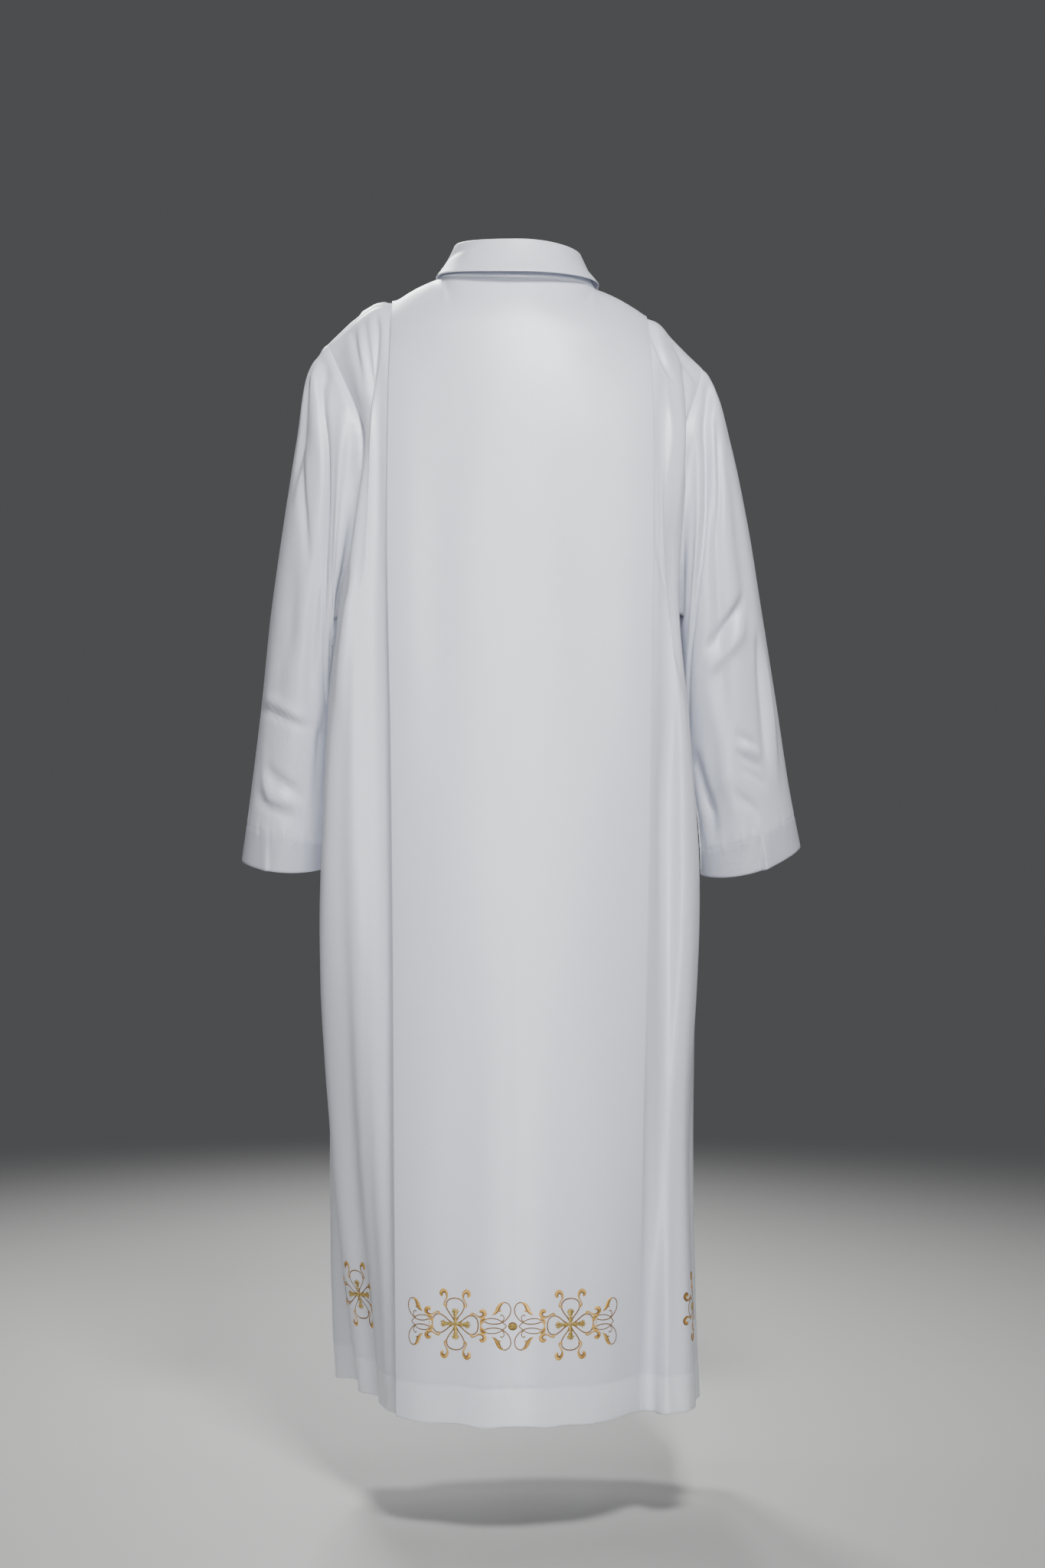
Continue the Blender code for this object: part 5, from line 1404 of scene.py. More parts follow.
class Signal:
    """Number that changes over a surface: a socket that can be reckoned with as Python reckons."""

    def __init__(self, graph: "Graph", socket: bpy.types.NodeSocket) -> None:
        """Keeps the material's graph and the socket that gives the number."""
        self.graph = graph
        self.socket = socket

    def _math(self, operation: str, *values: Any, clamp: bool = False) -> "Signal":
        """Adds a Math node of an operation on values, numbers or signals."""
        inputs = {number: value for number, value in enumerate(values)}
        made = self.graph.node("ShaderNodeMath", {"operation": operation, "use_clamp": clamp}, inputs)
        return Signal(self.graph, made.outputs[0])

    def __add__(self, value: Any) -> "Signal":
        """Sum."""
        return self._math("ADD", self, value)

    __radd__ = __add__

    def __sub__(self, value: Any) -> "Signal":
        """Difference."""
        return self._math("SUBTRACT", self, value)

    def __rsub__(self, value: Any) -> "Signal":
        """Difference from a number."""
        return self._math("SUBTRACT", value, self)

    def __mul__(self, value: Any) -> "Signal":
        """Product."""
        return self._math("MULTIPLY", self, value)

    __rmul__ = __mul__

    def sine(self) -> "Signal":
        """Sine of the number in radians."""
        return self._math("SINE", self)

    def between(self, low: float, high: float) -> "Signal":
        """0 at low, 1 at high, held to that range."""
        return self._math("MULTIPLY", self - low, 1.0 / (high - low), clamp=True)


class Graph:
    """Node tree of one material, with its Principled shader."""

    def __init__(self, name: str) -> None:
        """Starts a material by its name."""
        self.material = bpy.data.materials.new(name)
        self.material.use_nodes = True
        self.tree = self.material.node_tree
        self.shader = self.tree.nodes["Principled BSDF"]

    def node(
        self, kind: str, settings: dict[str, Any] | None = None, inputs: dict[Any, Any] | None = None
    ) -> bpy.types.Node:
        """Adds a node.

        Args:
            kind: Blender's name of the node type.
            settings: Properties, set before the sockets.
            inputs: Values, sockets or signals by socket name or number.

        Returns:
            The node.
        """
        made = self.tree.nodes.new(kind)
        for name, value in (settings or {}).items():
            setattr(made, name, value)
        for name, value in (inputs or {}).items():
            self.feed(made.inputs[name], value)
        return made

    def feed(self, socket: bpy.types.NodeSocket, value: Any) -> None:
        """Sets a socket to a value or links it to a signal or a socket."""
        if isinstance(value, Signal):
            value = value.socket
        if isinstance(value, bpy.types.NodeSocket):
            self.tree.links.new(value, socket)
        else:
            socket.default_value = value

    def cloth_place(self) -> tuple[bpy.types.NodeSocket, Signal, Signal]:
        """Place on the flat cut, whole and as its two measures in metres."""
        place = self.node("ShaderNodeUVMap", {"uv_map": UV_NAME}).outputs[0]
        parts = self.node("ShaderNodeSeparateXYZ", None, {0: place})
        return place, Signal(self, parts.outputs[0]), Signal(self, parts.outputs[1])

    def object_place(self) -> bpy.types.NodeSocket:
        """Place in the object's own metres."""
        return self.node("ShaderNodeTexCoord").outputs["Object"]

    def noise(self, place: Any, scale: float, detail: float = 2.0, rough: float = 0.5) -> Signal:
        """Soft noise between 0 and 1 at places, with scale spots to a metre."""
        made = self.node(
            "ShaderNodeTexNoise",
            {"noise_dimensions": "3D"},
            {"Vector": place, "Scale": scale, "Detail": detail, "Roughness": rough},
        )
        return Signal(self, made.outputs[0])

    def mix(self, factor: Any, first: Any, second: Any) -> bpy.types.NodeSocket:
        """Colour between two colours by a factor."""
        made = self.node("ShaderNodeMix", {"data_type": "RGBA"}, {0: factor, 6: first, 7: second})
        return made.outputs[2]

    def bump(
        self, height: Signal, distance: float, strength: float, normal: Any = None
    ) -> bpy.types.NodeSocket:
        """Normal raised by a height of up to a distance in metres."""
        inputs = {"Height": height, "Distance": distance, "Strength": strength}
        if normal is not None:
            inputs["Normal"] = normal
        return self.node("ShaderNodeBump", None, inputs).outputs[0]

    def finish(self, **sockets: Any) -> bpy.types.Material:
        """Feeds the shader's sockets, named with underscores for spaces, and returns the material."""
        for name, value in sockets.items():
            self.feed(self.shader.inputs[name.replace("_", " ")], value)
        return self.material


@dataclass(frozen=True)
class SatinCloth:
    """White satin-faced polyester: its colours, shine and weave."""

    single: Colour = (0.682, 0.706, 0.785, 1.0)
    double: Colour = (0.775, 0.795, 0.86, 1.0)
    shade: Colour = (0.61, 0.635, 0.73, 1.0)
    roughness: float = 0.40
    sheen: float = 0.03
    twill: float = 0.00062
    thread: float = 0.00034
    weave_depth: float = 0.000022
    slub_scale: float = 900.0
    mottle_scale: float = 34.0
    wave_scale: float = 17.0
    wave_depth: float = 0.0016
    crumple_scale: float = 60.0
    crumple_depth: float = 0.00035

    def material(self, name: str) -> bpy.types.Material:
        """Cloth whose weave follows its own flat cut.

        The weave is a slanting twill sine, a finer warp sine and slubs drawn out along the warp. Soft
        waves a few centimetres long break the shine, as in cloth that has hung and been folded.
        """
        graph = Graph(name)
        place, across, down = graph.cloth_place()
        turn = 2 * math.pi
        twill = (across * (turn / self.twill) + down * (0.6 * turn / self.twill)).sine()
        warp = (across * (turn / self.thread)).sine() * (down * (turn / self.thread)).sine()
        drawn = graph.node("ShaderNodeCombineXYZ", None, {0: across, 1: down * 0.06}).outputs[0]
        slub = graph.noise(drawn, self.slub_scale)
        mottle = graph.noise(place, self.mottle_scale, 3.0)
        waves = graph.noise(place, self.wave_scale, 2.0, 0.45)
        crumple = graph.noise(place, self.crumple_scale, 3.0)
        twice = Signal(graph, graph.node("ShaderNodeAttribute", {"attribute_name": DOUBLE}).outputs["Fac"])
        base = graph.mix(twice, self.single, self.double)
        worn = mottle.between(0.35, 0.85) * 0.22 + slub.between(0.45, 0.8) * 0.10
        shaded = graph.mix(worn, base, self.shade)
        rough = mottle * 0.08 + (self.roughness - 0.04) + twill * 0.012
        weave = twill * 0.6 + warp * 0.4 + slub * 0.8
        normal = graph.bump(waves, self.wave_depth, 0.55)
        normal = graph.bump(crumple, self.crumple_depth, 0.5, normal)
        normal = graph.bump(weave, self.weave_depth, 0.7, normal)
        return graph.finish(
            Base_Color=shaded,
            Roughness=rough,
            Normal=normal,
            Sheen_Weight=self.sheen,
            Sheen_Roughness=0.45,
            Specular_IOR_Level=1.0,
        )


@dataclass(frozen=True)
class SewnThread:
    """Thread: its lit and shaded colour, shine, metal and the pitch of its stitches."""

    light: Colour
    dark: Colour
    roughness: float
    metallic: float
    pitch: float
    depth: float = 0.00010
    patch_scale: float = 420.0
    fine_scale: float = 1900.0

    def material(self, name: str) -> bpy.types.Material:
        """Satin stitch: fine threads side by side across the stroke, with painted shade where each one dips.

        The UV map runs along the stroke and across it. The threads are a sine along the stroke, slanted
        by the place across, and noise on the object's own place varies the colour.
        """
        graph = Graph(name)
        along, across = graph.cloth_place()[1:]
        turn = 2 * math.pi
        threads = (along * (turn / self.pitch) + across * (0.45 * turn / self.pitch)).sine()
        spot = graph.object_place()
        patch = graph.noise(spot, self.patch_scale)
        fine = graph.noise(spot, self.fine_scale)
        # Painted shade in the low part of each thread, plus random darker patches.
        shade = (threads * -0.22 + 0.22) + patch.between(0.45, 0.75) * 0.55 + fine.between(0.5, 0.8) * 0.35
        colour = graph.mix(shade.between(0.0, 1.0), self.light, self.dark)
        normal = graph.bump(threads * 0.5 + fine * 0.8, self.depth, 0.9)
        return graph.finish(
            Base_Color=colour,
            Roughness=patch * 0.12 + (self.roughness - 0.06),
            Metallic=self.metallic,
            Normal=normal,
        )


FINISHES = {
    Thread.GOLD: SewnThread((0.86, 0.53, 0.14, 1.0), (0.44, 0.22, 0.04, 1.0), 0.34, 0.70, 0.00042),
    # The gold thread's shade, painted as a dark brown finish.
    Thread.BRONZE: SewnThread((0.30, 0.165, 0.055, 1.0), (0.12, 0.055, 0.018, 1.0), 0.42, 0.40, 0.00042),
    Thread.ANTIQUE: SewnThread(
        (0.78, 0.56, 0.17, 1.0), (0.16, 0.095, 0.02, 1.0), 0.34, 0.78, 0.00075, 0.00024
    ),
}
WHITE_THREAD = SewnThread((0.88, 0.89, 0.92, 1.0), (0.70, 0.71, 0.75, 1.0), 0.42, 0.0, 0.00025, 0.00004)


@dataclass(frozen=True)
class Stroke:
    """Sewn stroke: knots of (x, y, width) in millimetres on the cloth, its thread and its height."""

    knots: Line
    thread: Thread = Thread.GOLD
    height: float = 0.55
    offset: float = 0.0

    def turned(self, right: Array, up: Array) -> "Stroke":
        """The stroke with its x along right and its y along up."""
        table = np.asarray(self.knots, float)
        xy = table[:, :1] * right + table[:, 1:2] * up
        knots = tuple(map(tuple, np.column_stack([xy, table[:, 2]])))
        flip = float(np.sign(right[0] * up[1] - right[1] * up[0]))
        return Stroke(knots, self.thread, self.height, self.offset * flip)


def fine_line(points: Sequence[tuple[float, float]], width: float = 1.75) -> tuple[Stroke, ...]:
    """Thin outline: a flat dark brown run, painted shade of the gold thread, with a narrower gold run on it."""
    bronze = tuple((x, y, width) for x, y in points)
    gold = tuple((x, y, width * 0.60) for x, y in points)
    return (Stroke(bronze, Thread.BRONZE, 0.36), Stroke(gold, Thread.GOLD, 0.50, 0.10))


def shaded_stroke(knots: Line, side: float) -> tuple[Stroke, ...]:
    """Thick gold stroke with a dark brown run of less than half its width along one side, painted as its shade.
    """
    narrow = tuple((x, y, 0.50 * w) for x, y, w in knots)
    return (Stroke(knots, Thread.GOLD, 0.60), Stroke(narrow, Thread.BRONZE, 0.68, 0.24 * side))


PETAL = ((0.7, 2.6), (3.6, 8.0), (8.4, 14.4), (11.4, 20.8), (10.6, 26.0), (6.4, 30.0), (0.0, 31.4))
CURL = (
    (10.2, 23.8, 1.2), (11.6, 21.2, 2.1), (13.9, 22.6, 2.4), (12.8, 27.2, 2.0), (10.4, 31.8, 2.4),
    (10.9, 37.2, 4.0), (14.5, 40.0, 5.6), (17.7, 37.2, 5.4), (16.6, 34.0, 2.9), (15.0, 34.8, 0.9),
)
LENS = ((34.8, 6.4), (41.0, 8.6), (48.0, 8.9), (55.5, 7.0), (60.6, 3.2), (64.0, 0.0))
SWEEP = (
    (35.2, 5.4), (42.0, 3.1), (50.0, 2.4), (58.0, 4.0), (64.6, 9.0), (68.6, 15.6), (68.6, 22.8),
    (65.0, 27.6), (60.4, 28.4), (56.6, 26.0),
)
LEAF = ((60.4, 28.4, 1.8), (56.4, 26.0, 4.0), (53.4, 21.0, 5.2), (50.6, 16.2, 3.8), (46.2, 13.0, 0.6))
LEAF_KNOB = ((52.6, 20.2, 0.8), (55.4, 18.6, 3.0), (57.6, 18.2, 0.7))
HOOK = ((57.6, 4.6), (60.6, 8.0), (60.2, 12.2), (57.4, 13.4), (56.6, 11.6))
LOBE = ((31.4, 3.0, 1.2), (33.0, 6.4, 3.2), (35.6, 8.4, 3.4), (38.8, 7.6, 2.2), (41.2, 9.4, 0.5))
SPUR = ((31.6, 0.8, 1.4), (34.4, 4.2, 2.8), (38.8, 5.2, 0.6))
RIM = ((32.0, -5.2, 0.9), (33.2, 0.0, 1.3), (32.0, 5.2, 0.9))
ARM = (
    (0.0, -1.0, 4.2), (0.0, 5.0, 3.8), (0.0, 9.6, 3.8), (0.0, 13.0, 5.2), (0.0, 15.8, 7.2),
    (0.0, 17.0, 5.6),
)
PRONGS = (
    ((-1.2, 13.2, 1.8), (-3.2, 15.0, 2.4), (-5.0, 15.8, 0.7)),
    ((1.2, 13.4, 1.8), (3.3, 14.8, 2.4), (5.1, 15.4, 0.7)),
    ((-1.2, 15.0, 1.8), (-2.5, 17.2, 2.2), (-3.2, 18.8, 0.7)),
    ((1.2, 15.0, 1.8), (2.4, 17.4, 2.2), (3.3, 18.6, 0.7)),
    ((0.0, 15.6, 2.0), (0.1, 18.2, 2.0), (0.1, 20.0, 0.6)),
    ((-1.2, 10.2, 1.2), (-2.2, 11.8, 1.7), (-3.2, 12.2, 0.6)),
    ((1.2, 9.8, 1.2), (2.3, 11.4, 1.7), (3.3, 11.9, 0.6)),
    ((-1.2, 6.6, 1.2), (-2.2, 7.8, 1.6), (-2.9, 8.6, 0.5)),
    ((1.2, 6.8, 1.2), (2.1, 8.2, 1.6), (3.0, 8.8, 0.5)),
    ((-1.3, 3.2, 1.2), (-2.3, 4.0, 1.5), (-2.9, 5.0, 0.5)),
    ((1.3, 3.6, 1.2), (2.3, 4.6, 1.5), (3.0, 5.2, 0.5)),
)
RIGHT, UP = np.array([1.0, 0.0]), np.array([0.0, 1.0])
QUARTER_TURNS = ((RIGHT, UP, 1.0), (-RIGHT, -UP, 1.0), (UP, RIGHT, 0.935), (-UP, -RIGHT, 0.935))


class Ornament:
    """The ornament: a cross in four petals with curls, and scrolls that run out from its sides."""

    def flower(self) -> list[Stroke]:
        """The cross, the four petals and the eight curls about the middle."""
        strokes: list[Stroke] = []
        for right, up, reach in QUARTER_TURNS:
            tall = up * reach
            for sign in (1.0, -1.0):
                wide = right * sign
                strokes += [s.turned(wide, tall) for s in fine_line(PETAL)]
                strokes += [s.turned(wide, tall) for s in shaded_stroke(CURL, 1.0)]
            strokes.append(Stroke(ARM, Thread.ANTIQUE, 0.75).turned(right, up))
            strokes += [Stroke(prong, Thread.ANTIQUE, 0.62).turned(right, up) for prong in PRONGS]
        strokes.append(Stroke(((-2.6, 0.0, 3.0), (0.0, 0.0, 4.6), (2.6, 0.0, 3.0)), Thread.ANTIQUE, 0.95))
        return strokes

    def scrolls(self, direction: float, reach: float) -> list[Stroke]:
        """Scrolls on one side: twin loops out to a point, and a scroll and leaf above and below."""
        strokes: list[Stroke] = []
        for sign in (1.0, -1.0):
            wide, tall = RIGHT * direction * reach, UP * sign
            thin = fine_line(LENS, 1.35) + fine_line(SWEEP, 1.5) + fine_line(HOOK, 1.35)
            thick = shaded_stroke(LEAF, -1.0) + shaded_stroke(LEAF_KNOB, 1.0) + shaded_stroke(LOBE, 1.0)
            strokes += [s.turned(wide, tall) for s in thin + thick]
            strokes.append(Stroke(SPUR, Thread.GOLD, 0.5).turned(wide, tall))
        strokes.append(Stroke(RIM, Thread.GOLD, 0.45).turned(RIGHT * direction, UP))
        return strokes

    def dot(self) -> list[Stroke]:
        """Filled oval dot between two flowers."""
        rim = tuple((5.0 * math.cos(t), 4.3 * math.sin(t), 1.5) for t in np.linspace(0.0, 2 * math.pi, 13))
        core = ((-4.6, 0.0, 3.0), (-2.4, 0.0, 7.0), (0.0, 0.0, 7.8), (2.4, 0.0, 7.0), (4.6, 0.0, 3.0))
        # The dot's dark brown rim is painted shade of the gold thread.
        return [Stroke(core, Thread.ANTIQUE, 1.0), Stroke(rim, Thread.BRONZE, 0.5)]


@dataclass
class Embroidery:
    """Strokes laid on cloth as raised threads, gathered by thread."""

    name: str
    steps: int = 6
    around: int = 7
    least_width: float = 0.25
    full_width: float = 0.0016
    sunk: float = 0.15
    points: dict[Thread, list[Array]] = field(default_factory=dict)
    faces: dict[Thread, list[Array]] = field(default_factory=dict)
    flats: dict[Thread, list[Array]] = field(default_factory=dict)

    def sew(self, cloth: Cloth, strokes: Sequence[Stroke], across: float, down: float) -> None:
        """Lays strokes on the cloth about a centre.

        A stroke is a low dome carried along a smooth line: at each place its half width goes across
        and its height along the cloth's normal, as a cosine and a sine round the section.

        Args:
            cloth: The cloth.
            strokes: The strokes.
            across: Centre across the cloth, in metres.
            down: Centre down the cloth, in metres.
        """
        for stroke in strokes:
            line = smooth_line(stroke.knots, self.steps)
            spots, ways = cloth.place(across + line[:, 0] / MILLIMETRES, down - line[:, 1] / MILLIMETRES)
            run = unit(np.gradient(spots, axis=0))
            aside = unit(np.cross(ways, run))
            width = np.maximum(line[:, 2], self.least_width)[:, None] / MILLIMETRES
            spots = spots + aside * width * stroke.offset * 2
            turn = np.linspace(0.0, 2 * math.pi, self.around, endpoint=False)
            up = np.sin(turn)
            rise = np.where(up > 0, up * stroke.height, up * self.sunk) / MILLIMETRES
            narrow = np.minimum(width / self.full_width, 1.0)
            ring = (
                spots[:, None]
                + aside[:, None] * (0.5 * width)[:, None] * np.cos(turn)[None, :, None]
                + ways[:, None] * rise[None, :, None] * narrow[:, None]
            )
            self.add(stroke.thread, ring, width[:, 0])

    def add(self, thread: Thread, ring: Array, width: Array) -> None:
        """Adds one stroke's rings, closed at both ends by a point at the end ring's middle."""
        ends = [end.mean(axis=1, keepdims=True).repeat(self.around, 1) for end in (ring[:1], ring[-1:])]
        rings = np.concatenate([ends[0], ring, ends[1]])
        rows = len(rings)
        base = sum(len(p) for p in self.points.get(thread, []))
        index = ringed(numbered(rows, self.around) + base)
        along = arc_length(rings.mean(axis=1, keepdims=True), 0)
        wide = np.concatenate([width[:1], width, width[-1:]])[:, None]
        aside = wide * np.linspace(0.0, 1.0, self.around + 1)[None, :]
        flat = np.stack([np.broadcast_to(along, index.shape), aside], axis=-1)
        corner = cells(numbered(*index.shape))
        self.points.setdefault(thread, []).append(rings.reshape(-1, 3))
        self.faces.setdefault(thread, []).append(cells(index))
        self.flats.setdefault(thread, []).append(flat.reshape(-1, 2)[corner.ravel()])

    def pieces(self, slot: str) -> list[bpy.types.Object]:
        """Makes one object for each thread and dresses it."""
        made = []
        for thread, points in self.points.items():
            name = f"{self.name}_{thread.value}"
            grids = (points, self.faces[thread], self.flats[thread])
            mesh = mesh_from(name, *(np.concatenate(grid) for grid in grids))
            made.append(shown(name, mesh, FINISHES[thread].material(name + "_thread")))
        return made


# Profile of a stitch at five places: the share of its length, of its thickness and of its rise.
STITCH_PROFILE = np.array(
    ((-0.5, 0.35, -0.3), (-0.38, 0.85, 0.35), (0.0, 1.0, 0.6), (0.38, 0.85, 0.35), (0.5, 0.35, -0.3))
)


@dataclass
class StitchRow:
    """Rows of short straight stitches, each a small rounded bar pulled into the cloth at its ends."""

    name: str
    pitch: float = 0.0032
    length: float = 0.0025
    width: float = 0.00042
    rise: float = 0.00026
    bars: list[Array] = field(default_factory=list)

    def along(self, points: Array, ways: Array, closed: bool = False) -> None:
        """Lays stitches along a line of points with their normals, one to each pitch.

        A stitch is a grid of five places along it by six round it. Its height is a sine along it.

        Args:
            points: The line's points.
            ways: Unit normals there.
            closed: True where the line ends at its start.
        """
        if closed:
            points, ways = np.concatenate([points, points[:1]]), np.concatenate([ways, ways[:1]])
        reach = arc_length(points[:, None], 0)[:, 0]
        middles = np.arange(0.5 * self.pitch, reach[-1], self.pitch)

        def read(values: Array, places: Array) -> Array:
            """Values of the line at distances along it."""
            return np.stack([np.interp(places, reach, values[:, i]) for i in range(3)], axis=-1)

        spots = read(points, middles)
        normals = unit(read(ways, middles))
        run = unit(read(points, middles + 0.001) - read(points, middles - 0.001))
        aside = unit(np.cross(normals, run))
        place, thick, lift = STITCH_PROFILE.T
        turn = np.linspace(0.0, 2 * math.pi, 6, endpoint=False)
        centre = spots[:, None] + run[:, None] * (place * self.length)[None, :, None]
        centre = centre + normals[:, None] * (lift * self.rise)[None, :, None]
        round_out = (
            aside[:, None, None] * (0.5 * self.width * np.cos(turn))[None, None, :, None]
            + normals[:, None, None] * (0.5 * self.rise * np.sin(turn))[None, None, :, None]
        )
        self.bars.append(centre[:, :, None] + round_out * thick[None, :, None, None])

    def piece(self, slot: str) -> bpy.types.Object:
        """Makes the object of all its stitches and dresses it."""
        bars = np.concatenate(self.bars)
        count, places, around = bars.shape[:3]
        body = cells(ringed(numbered(places, around)))
        caps = np.array([[0, 1, 2, 3], [3, 4, 5, 0]])
        caps = np.concatenate([caps[:, ::-1], caps + (places - 1) * around])
        faces = np.concatenate([body, caps[:, ::-1]])
        every = (faces[None] + (np.arange(count) * places * around)[:, None, None]).reshape(-1, 4)
        points = bars.reshape(-1, 3)
        number = np.arange(len(points))
        flat = np.stack([number // around * 0.0006, number % around * 0.0001], axis=-1)
        mesh = mesh_from(self.name, points, every, flat[every.ravel()])
        return shown(self.name, mesh, WHITE_THREAD.material(self.name + "_thread"))


def placed(name: str, data: bpy.types.ID) -> bpy.types.Object:
    """Puts a mesh, a light or a camera in the scene under a name."""
    made = bpy.data.objects.new(name, data)
    bpy.context.scene.collection.objects.link(made)
    return made


def shown(name: str, mesh: bpy.types.Mesh, material: bpy.types.Material) -> bpy.types.Object:
    """Puts a mesh in the scene with its material, riding on the robe, and reports it."""
    mesh.materials.append(material)
    piece = placed(name, mesh)
    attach(piece, BODY)
    LOG.info("%s: %d faces", name, len(mesh.polygons))
    return piece


@dataclass
class Robe:
    """The whole robe: its cloth, stitching and embroidery."""

    body: Body = field(default_factory=Body)
    motif_down: float = 1.2955
    motif_across: float = 0.0714
    band_centre: float = 0.0055
    front_edge: float = 0.0006
    side_motifs: tuple[tuple[Face, Side, float, float], ...] = (
        (Face.BACK, Side.LEFT, 0.120, 1.287),
        (Face.BACK, Side.RIGHT, 0.1075, 1.291),
        (Face.FRONT, Side.LEFT, 0.046, 1.292),
        (Face.FRONT, Side.RIGHT, 0.046, 1.292),
    )
    sheets: dict[str, tuple[tuple[float, float], float]] = field(
        default_factory=lambda: {
            "back": ((1.03, 1.44), 1.23),
            "front_left": ((0.50, 1.40), 0.56),
            "front_right": ((0.52, 1.40), 0.60),
            "sleeve_left": ((0.56, 0.68), 0.215),
            "sleeve_right": ((0.56, 0.66), 0.205),
            "collar": ((0.62, 0.10), 0.056),
        }
    )

    def build(self) -> None:
        """Builds every piece, with its stitching and embroidery, and hides the solid that each cloth replaces.
        """
        self.body.build()
        cloths = {"back": self.body.back_cloth()}
        for side in Side:
            cloths[f"front_{side.value}"] = self.front(side)
            cloths[f"sleeve_{side.value}"] = Sleeve(side).cloth(self.body.loops[side])
        cloths["collar"] = Collar().cloth()
        for node, cloth in cloths.items():
            self.stitching(node, cloth) + self.ornament(node, cloth)
        for node, cloth in cloths.items():
            name = node + "_cloth"
            wall = COLLAR_WALL if node == "collar" else CLOTH_WALL
            # The sleeves' doubled cuffs take the greyer colour, which is painted shade.
            satin = SatinCloth(double=CUFF_PAINTED_SHADE) if cloth.closed else SatinCloth()
            piece = shown(name, cloth.mesh(name, wall), satin.material(name + "_satin"))
            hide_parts(node)
            rests = [] if node == "back" else ["back_cloth"]

    def front(self, side: Side) -> Cloth:
        """One front, its free edge set just beside the middle."""
        cloth = self.body.half_cloth(Face.FRONT, side)
        cloth.points[:, 0, 0] = side.sign * self.front_edge
        cloth.out[:, 0, 0] = 0.0
        cloth.out[:, 0] = unit(cloth.out[:, 0])
        return cloth

    def stitching(self, node: str, cloth: Cloth) -> list[bpy.types.Object]:
        """Stitch lines of the hem or the cuff."""
        if node == "collar":
            return []
        line = CUFF_LINE * SLEEVE_LENGTH if node.startswith("sleeve") else HEM_LINE
        row = int(np.argmin(np.abs(cloth.down[:, 0] - line)))
        width = cloth.points.shape[1]
        first = TUCK_COLUMNS if node == "back" else 1
        columns = slice(None) if cloth.closed else slice(first, width - TUCK_COLUMNS)
        points, ways = cloth.points[row, columns], cloth.out[row, columns]
        stitches = StitchRow(node + "_stitching")
        stitches.along(points + ways * CLOTH_WALL / 2, ways, cloth.closed)
        return [stitches.piece(node + "_cloth")]

    def ornament(self, node: str, cloth: Cloth) -> list[bpy.types.Object]:
        """Embroidered band of the back or of a front, and the single flowers of the side parts."""
        if node.startswith("sleeve") or node == "collar":
            return []
        drawing = Ornament()
        work = Embroidery(node + "_embroidery")
        flower = drawing.flower()
        if node == "back":
            middle = self.back_middle(cloth)
            for sign in (1.0, -1.0):
                strokes = flower + drawing.scrolls(-sign, 1.0) + drawing.scrolls(sign, 0.90)
                work.sew(middle, strokes, self.band_centre + sign * self.motif_across, self.motif_down)
            work.sew(middle, drawing.dot(), self.band_centre, self.motif_down)
        else:
            strokes = flower + drawing.scrolls(-1.0, 0.95) + drawing.scrolls(1.0, 0.90)
            middle = cloth.part(slice(0, self.body.pleat_start + PLEAT_COLUMNS))
            work.sew(middle, strokes, self.motif_across, self.motif_down)
        for face, side, across, down in self.side_motifs:
            if node not in (face.value, f"{face.value}_{side.value}"):
                continue
            work.sew(self.side_part(face, side), flower, across, down)
        return work.pieces(node + "_cloth")

    def back_middle(self, cloth: Cloth) -> Cloth:
        """Top layer of the back between its two pleats."""
        middle = cloth.points.shape[1] // 2
        reach = self.body.pleat_start + PLEAT_COLUMNS - 1
        return cloth.part(slice(middle - reach, middle + reach + 1), np.zeros((len(cloth.down), 1)))

    def side_part(self, face: Face, side: Side) -> Cloth:
        """Side part of a half, measured across from its pleat."""
        half = self.body.half_cloth(face, side)
        return half.part(slice(self.body.side_start, half.points.shape[1] - TUCK_COLUMNS))


@dataclass(frozen=True)
class Lamp:
    """Soft light: its name, middle, width and height, power in watts and beam in degrees."""

    name: str
    place: Place
    size: tuple[float, float]
    power: float
    spread: float = 180.0


LAMPS = (
    Lamp("key", (-0.40, 2.3, 1.75), (0.55, 0.55), 17.0, 62.0),
    Lamp("strip", (-0.05, 3.6, -0.42), (0.32, 2.0), 2.7, 18.0),
    Lamp("left_side", (3.0, -0.3, 0.6), (0.8, 1.2), 12.0),
    Lamp("right_side", (-3.0, -0.3, 0.6), (0.8, 1.2), 9.0),
    Lamp("front_strip", (0.3, -3.6, 0.2), (0.45, 2.2), 60.0),
    Lamp("front_key", (0.9, -2.4, 1.5), (0.6, 0.6), 70.0),
)


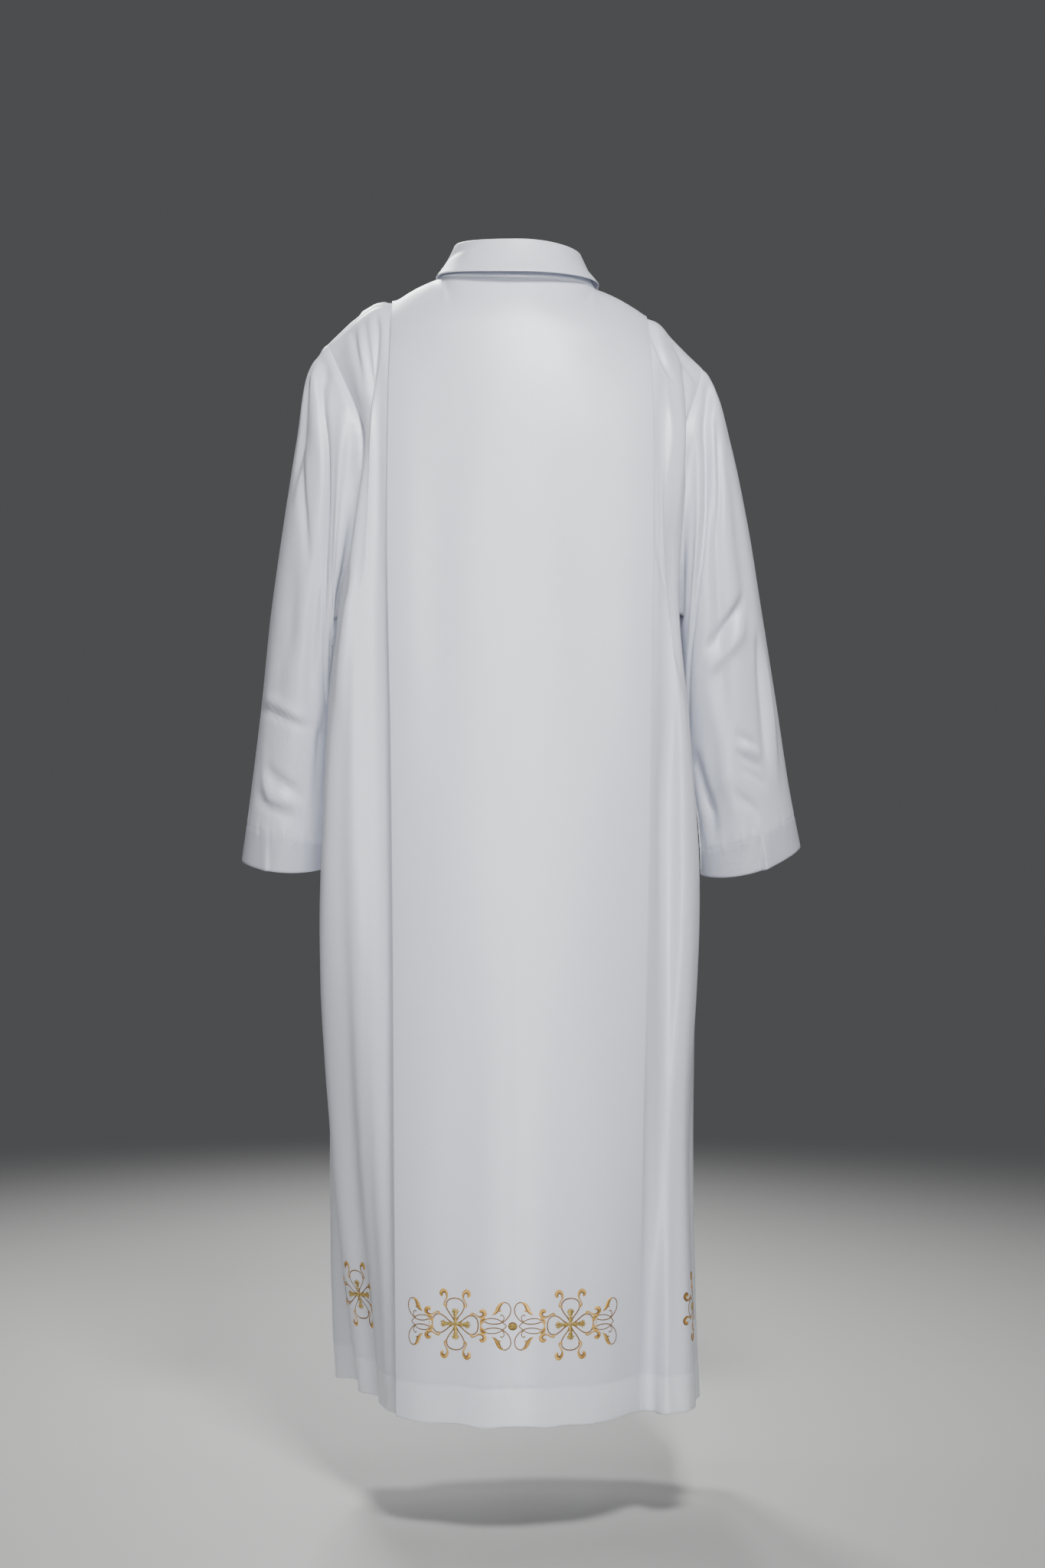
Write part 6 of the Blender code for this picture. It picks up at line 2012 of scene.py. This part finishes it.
@dataclass
class Studio:
    """Pale floor, soft lights and the camera at the photograph's angle."""

    floor_radius: float = 4.2
    floor_clear: float = 1.3
    floor_rings: int = 40
    floor_sides: int = 96
    floor_colour: Colour = (0.52, 0.515, 0.505, 1.0)
    floor_cloud: Colour = (0.48, 0.475, 0.47, 1.0)
    grain_scale: float = 240.0
    cloud_scale: float = 1.6
    air: Colour = (0.33, 0.335, 0.345, 1.0)
    air_strength: float = 0.24
    aim: Place = (0.0, 0.0, -0.6)
    camera_place: Place = (-0.0063, 3.4, -0.6326)
    lens: float = 61.31

    def build(self) -> None:
        """Builds the floor, the air, the lights and the camera."""
        self.floor()
        world = bpy.data.worlds.new("studio_air")
        bpy.context.scene.world = world
        world.use_nodes = True
        shade = world.node_tree.nodes["Background"]
        shade.inputs[0].default_value = self.air
        shade.inputs[1].default_value = self.air_strength
        for lamp in LAMPS:
            self.light(lamp)
        data = bpy.data.cameras.new("photo_camera")
        data.lens = self.lens
        data.sensor_width = 36.0
        data.clip_end = 100.0
        camera = placed("photo_camera", data)
        camera.location = self.camera_place
        camera.rotation_euler = (math.radians(90.0), 0.0, math.radians(180.0))
        bpy.context.scene.camera = camera

    def light(self, lamp: Lamp) -> None:
        """Adds a light that faces the middle of the robe."""
        data = bpy.data.lights.new(lamp.name, "AREA")
        data.shape = "RECTANGLE"
        data.size, data.size_y = lamp.size
        data.energy = lamp.power
        data.spread = math.radians(lamp.spread)
        turn = (Vector(self.aim) - Vector(lamp.place)).to_track_quat("-Z", "Y").to_matrix().to_4x4()
        placed(lamp.name, data).matrix_world = Matrix.Translation(lamp.place) @ turn

    def floor(self) -> None:
        """Round pale floor: rings of points whose radius grows as the square of the ring's number."""
        rings, sides = self.floor_rings, self.floor_sides
        turn = np.linspace(0.0, 2 * math.pi, sides, endpoint=False)
        radius = self.floor_radius * np.linspace(0.02, 1.0, rings)[:, None] ** 2
        height = np.full((rings, sides), FLOOR_Z)
        grid = np.stack([radius * np.cos(turn), radius * np.sin(turn), height], axis=-1)
        index = ringed(numbered(rings, sides))
        centre = np.full(sides // 2, rings * sides)
        middle = np.stack([index[0, :-1:2], index[0, 1::2], index[0, 2::2], centre], axis=-1)
        points = np.concatenate([grid.reshape(-1, 3), [[0.0, 0.0, FLOOR_Z]]])
        mesh = mesh_from("floor", points, np.concatenate([cells(index), middle]))
        graph = Graph("floor_paint")
        spot = graph.object_place()
        grain = graph.noise(spot, self.grain_scale, 3.0)
        cloud = graph.noise(spot, self.cloud_scale)
        colour = graph.mix(cloud.between(0.3, 0.7) * 0.25 + grain * 0.1, self.floor_colour, self.floor_cloud)
        away = graph.node("ShaderNodeVectorMath", {"operation": "LENGTH"}, {0: spot}).outputs["Value"]
        clear = Signal(graph, away).between(self.floor_radius * 0.96, self.floor_clear)
        paint = graph.finish(
            Base_Color=colour,
            Roughness=grain * 0.1 + 0.62,
            Normal=graph.bump(grain, 0.0002, 0.3),
            Alpha=clear * clear * (3.0 - clear * 2.0),
        )
        mesh.materials.append(paint)
        placed("floor", mesh)


def main() -> None:
    """Builds the robe and the studio."""
    logging.basicConfig(level=logging.INFO, format="%(name)s %(message)s")
    Robe().build()
    Studio().build()


if __name__ == "__main__":
    main()
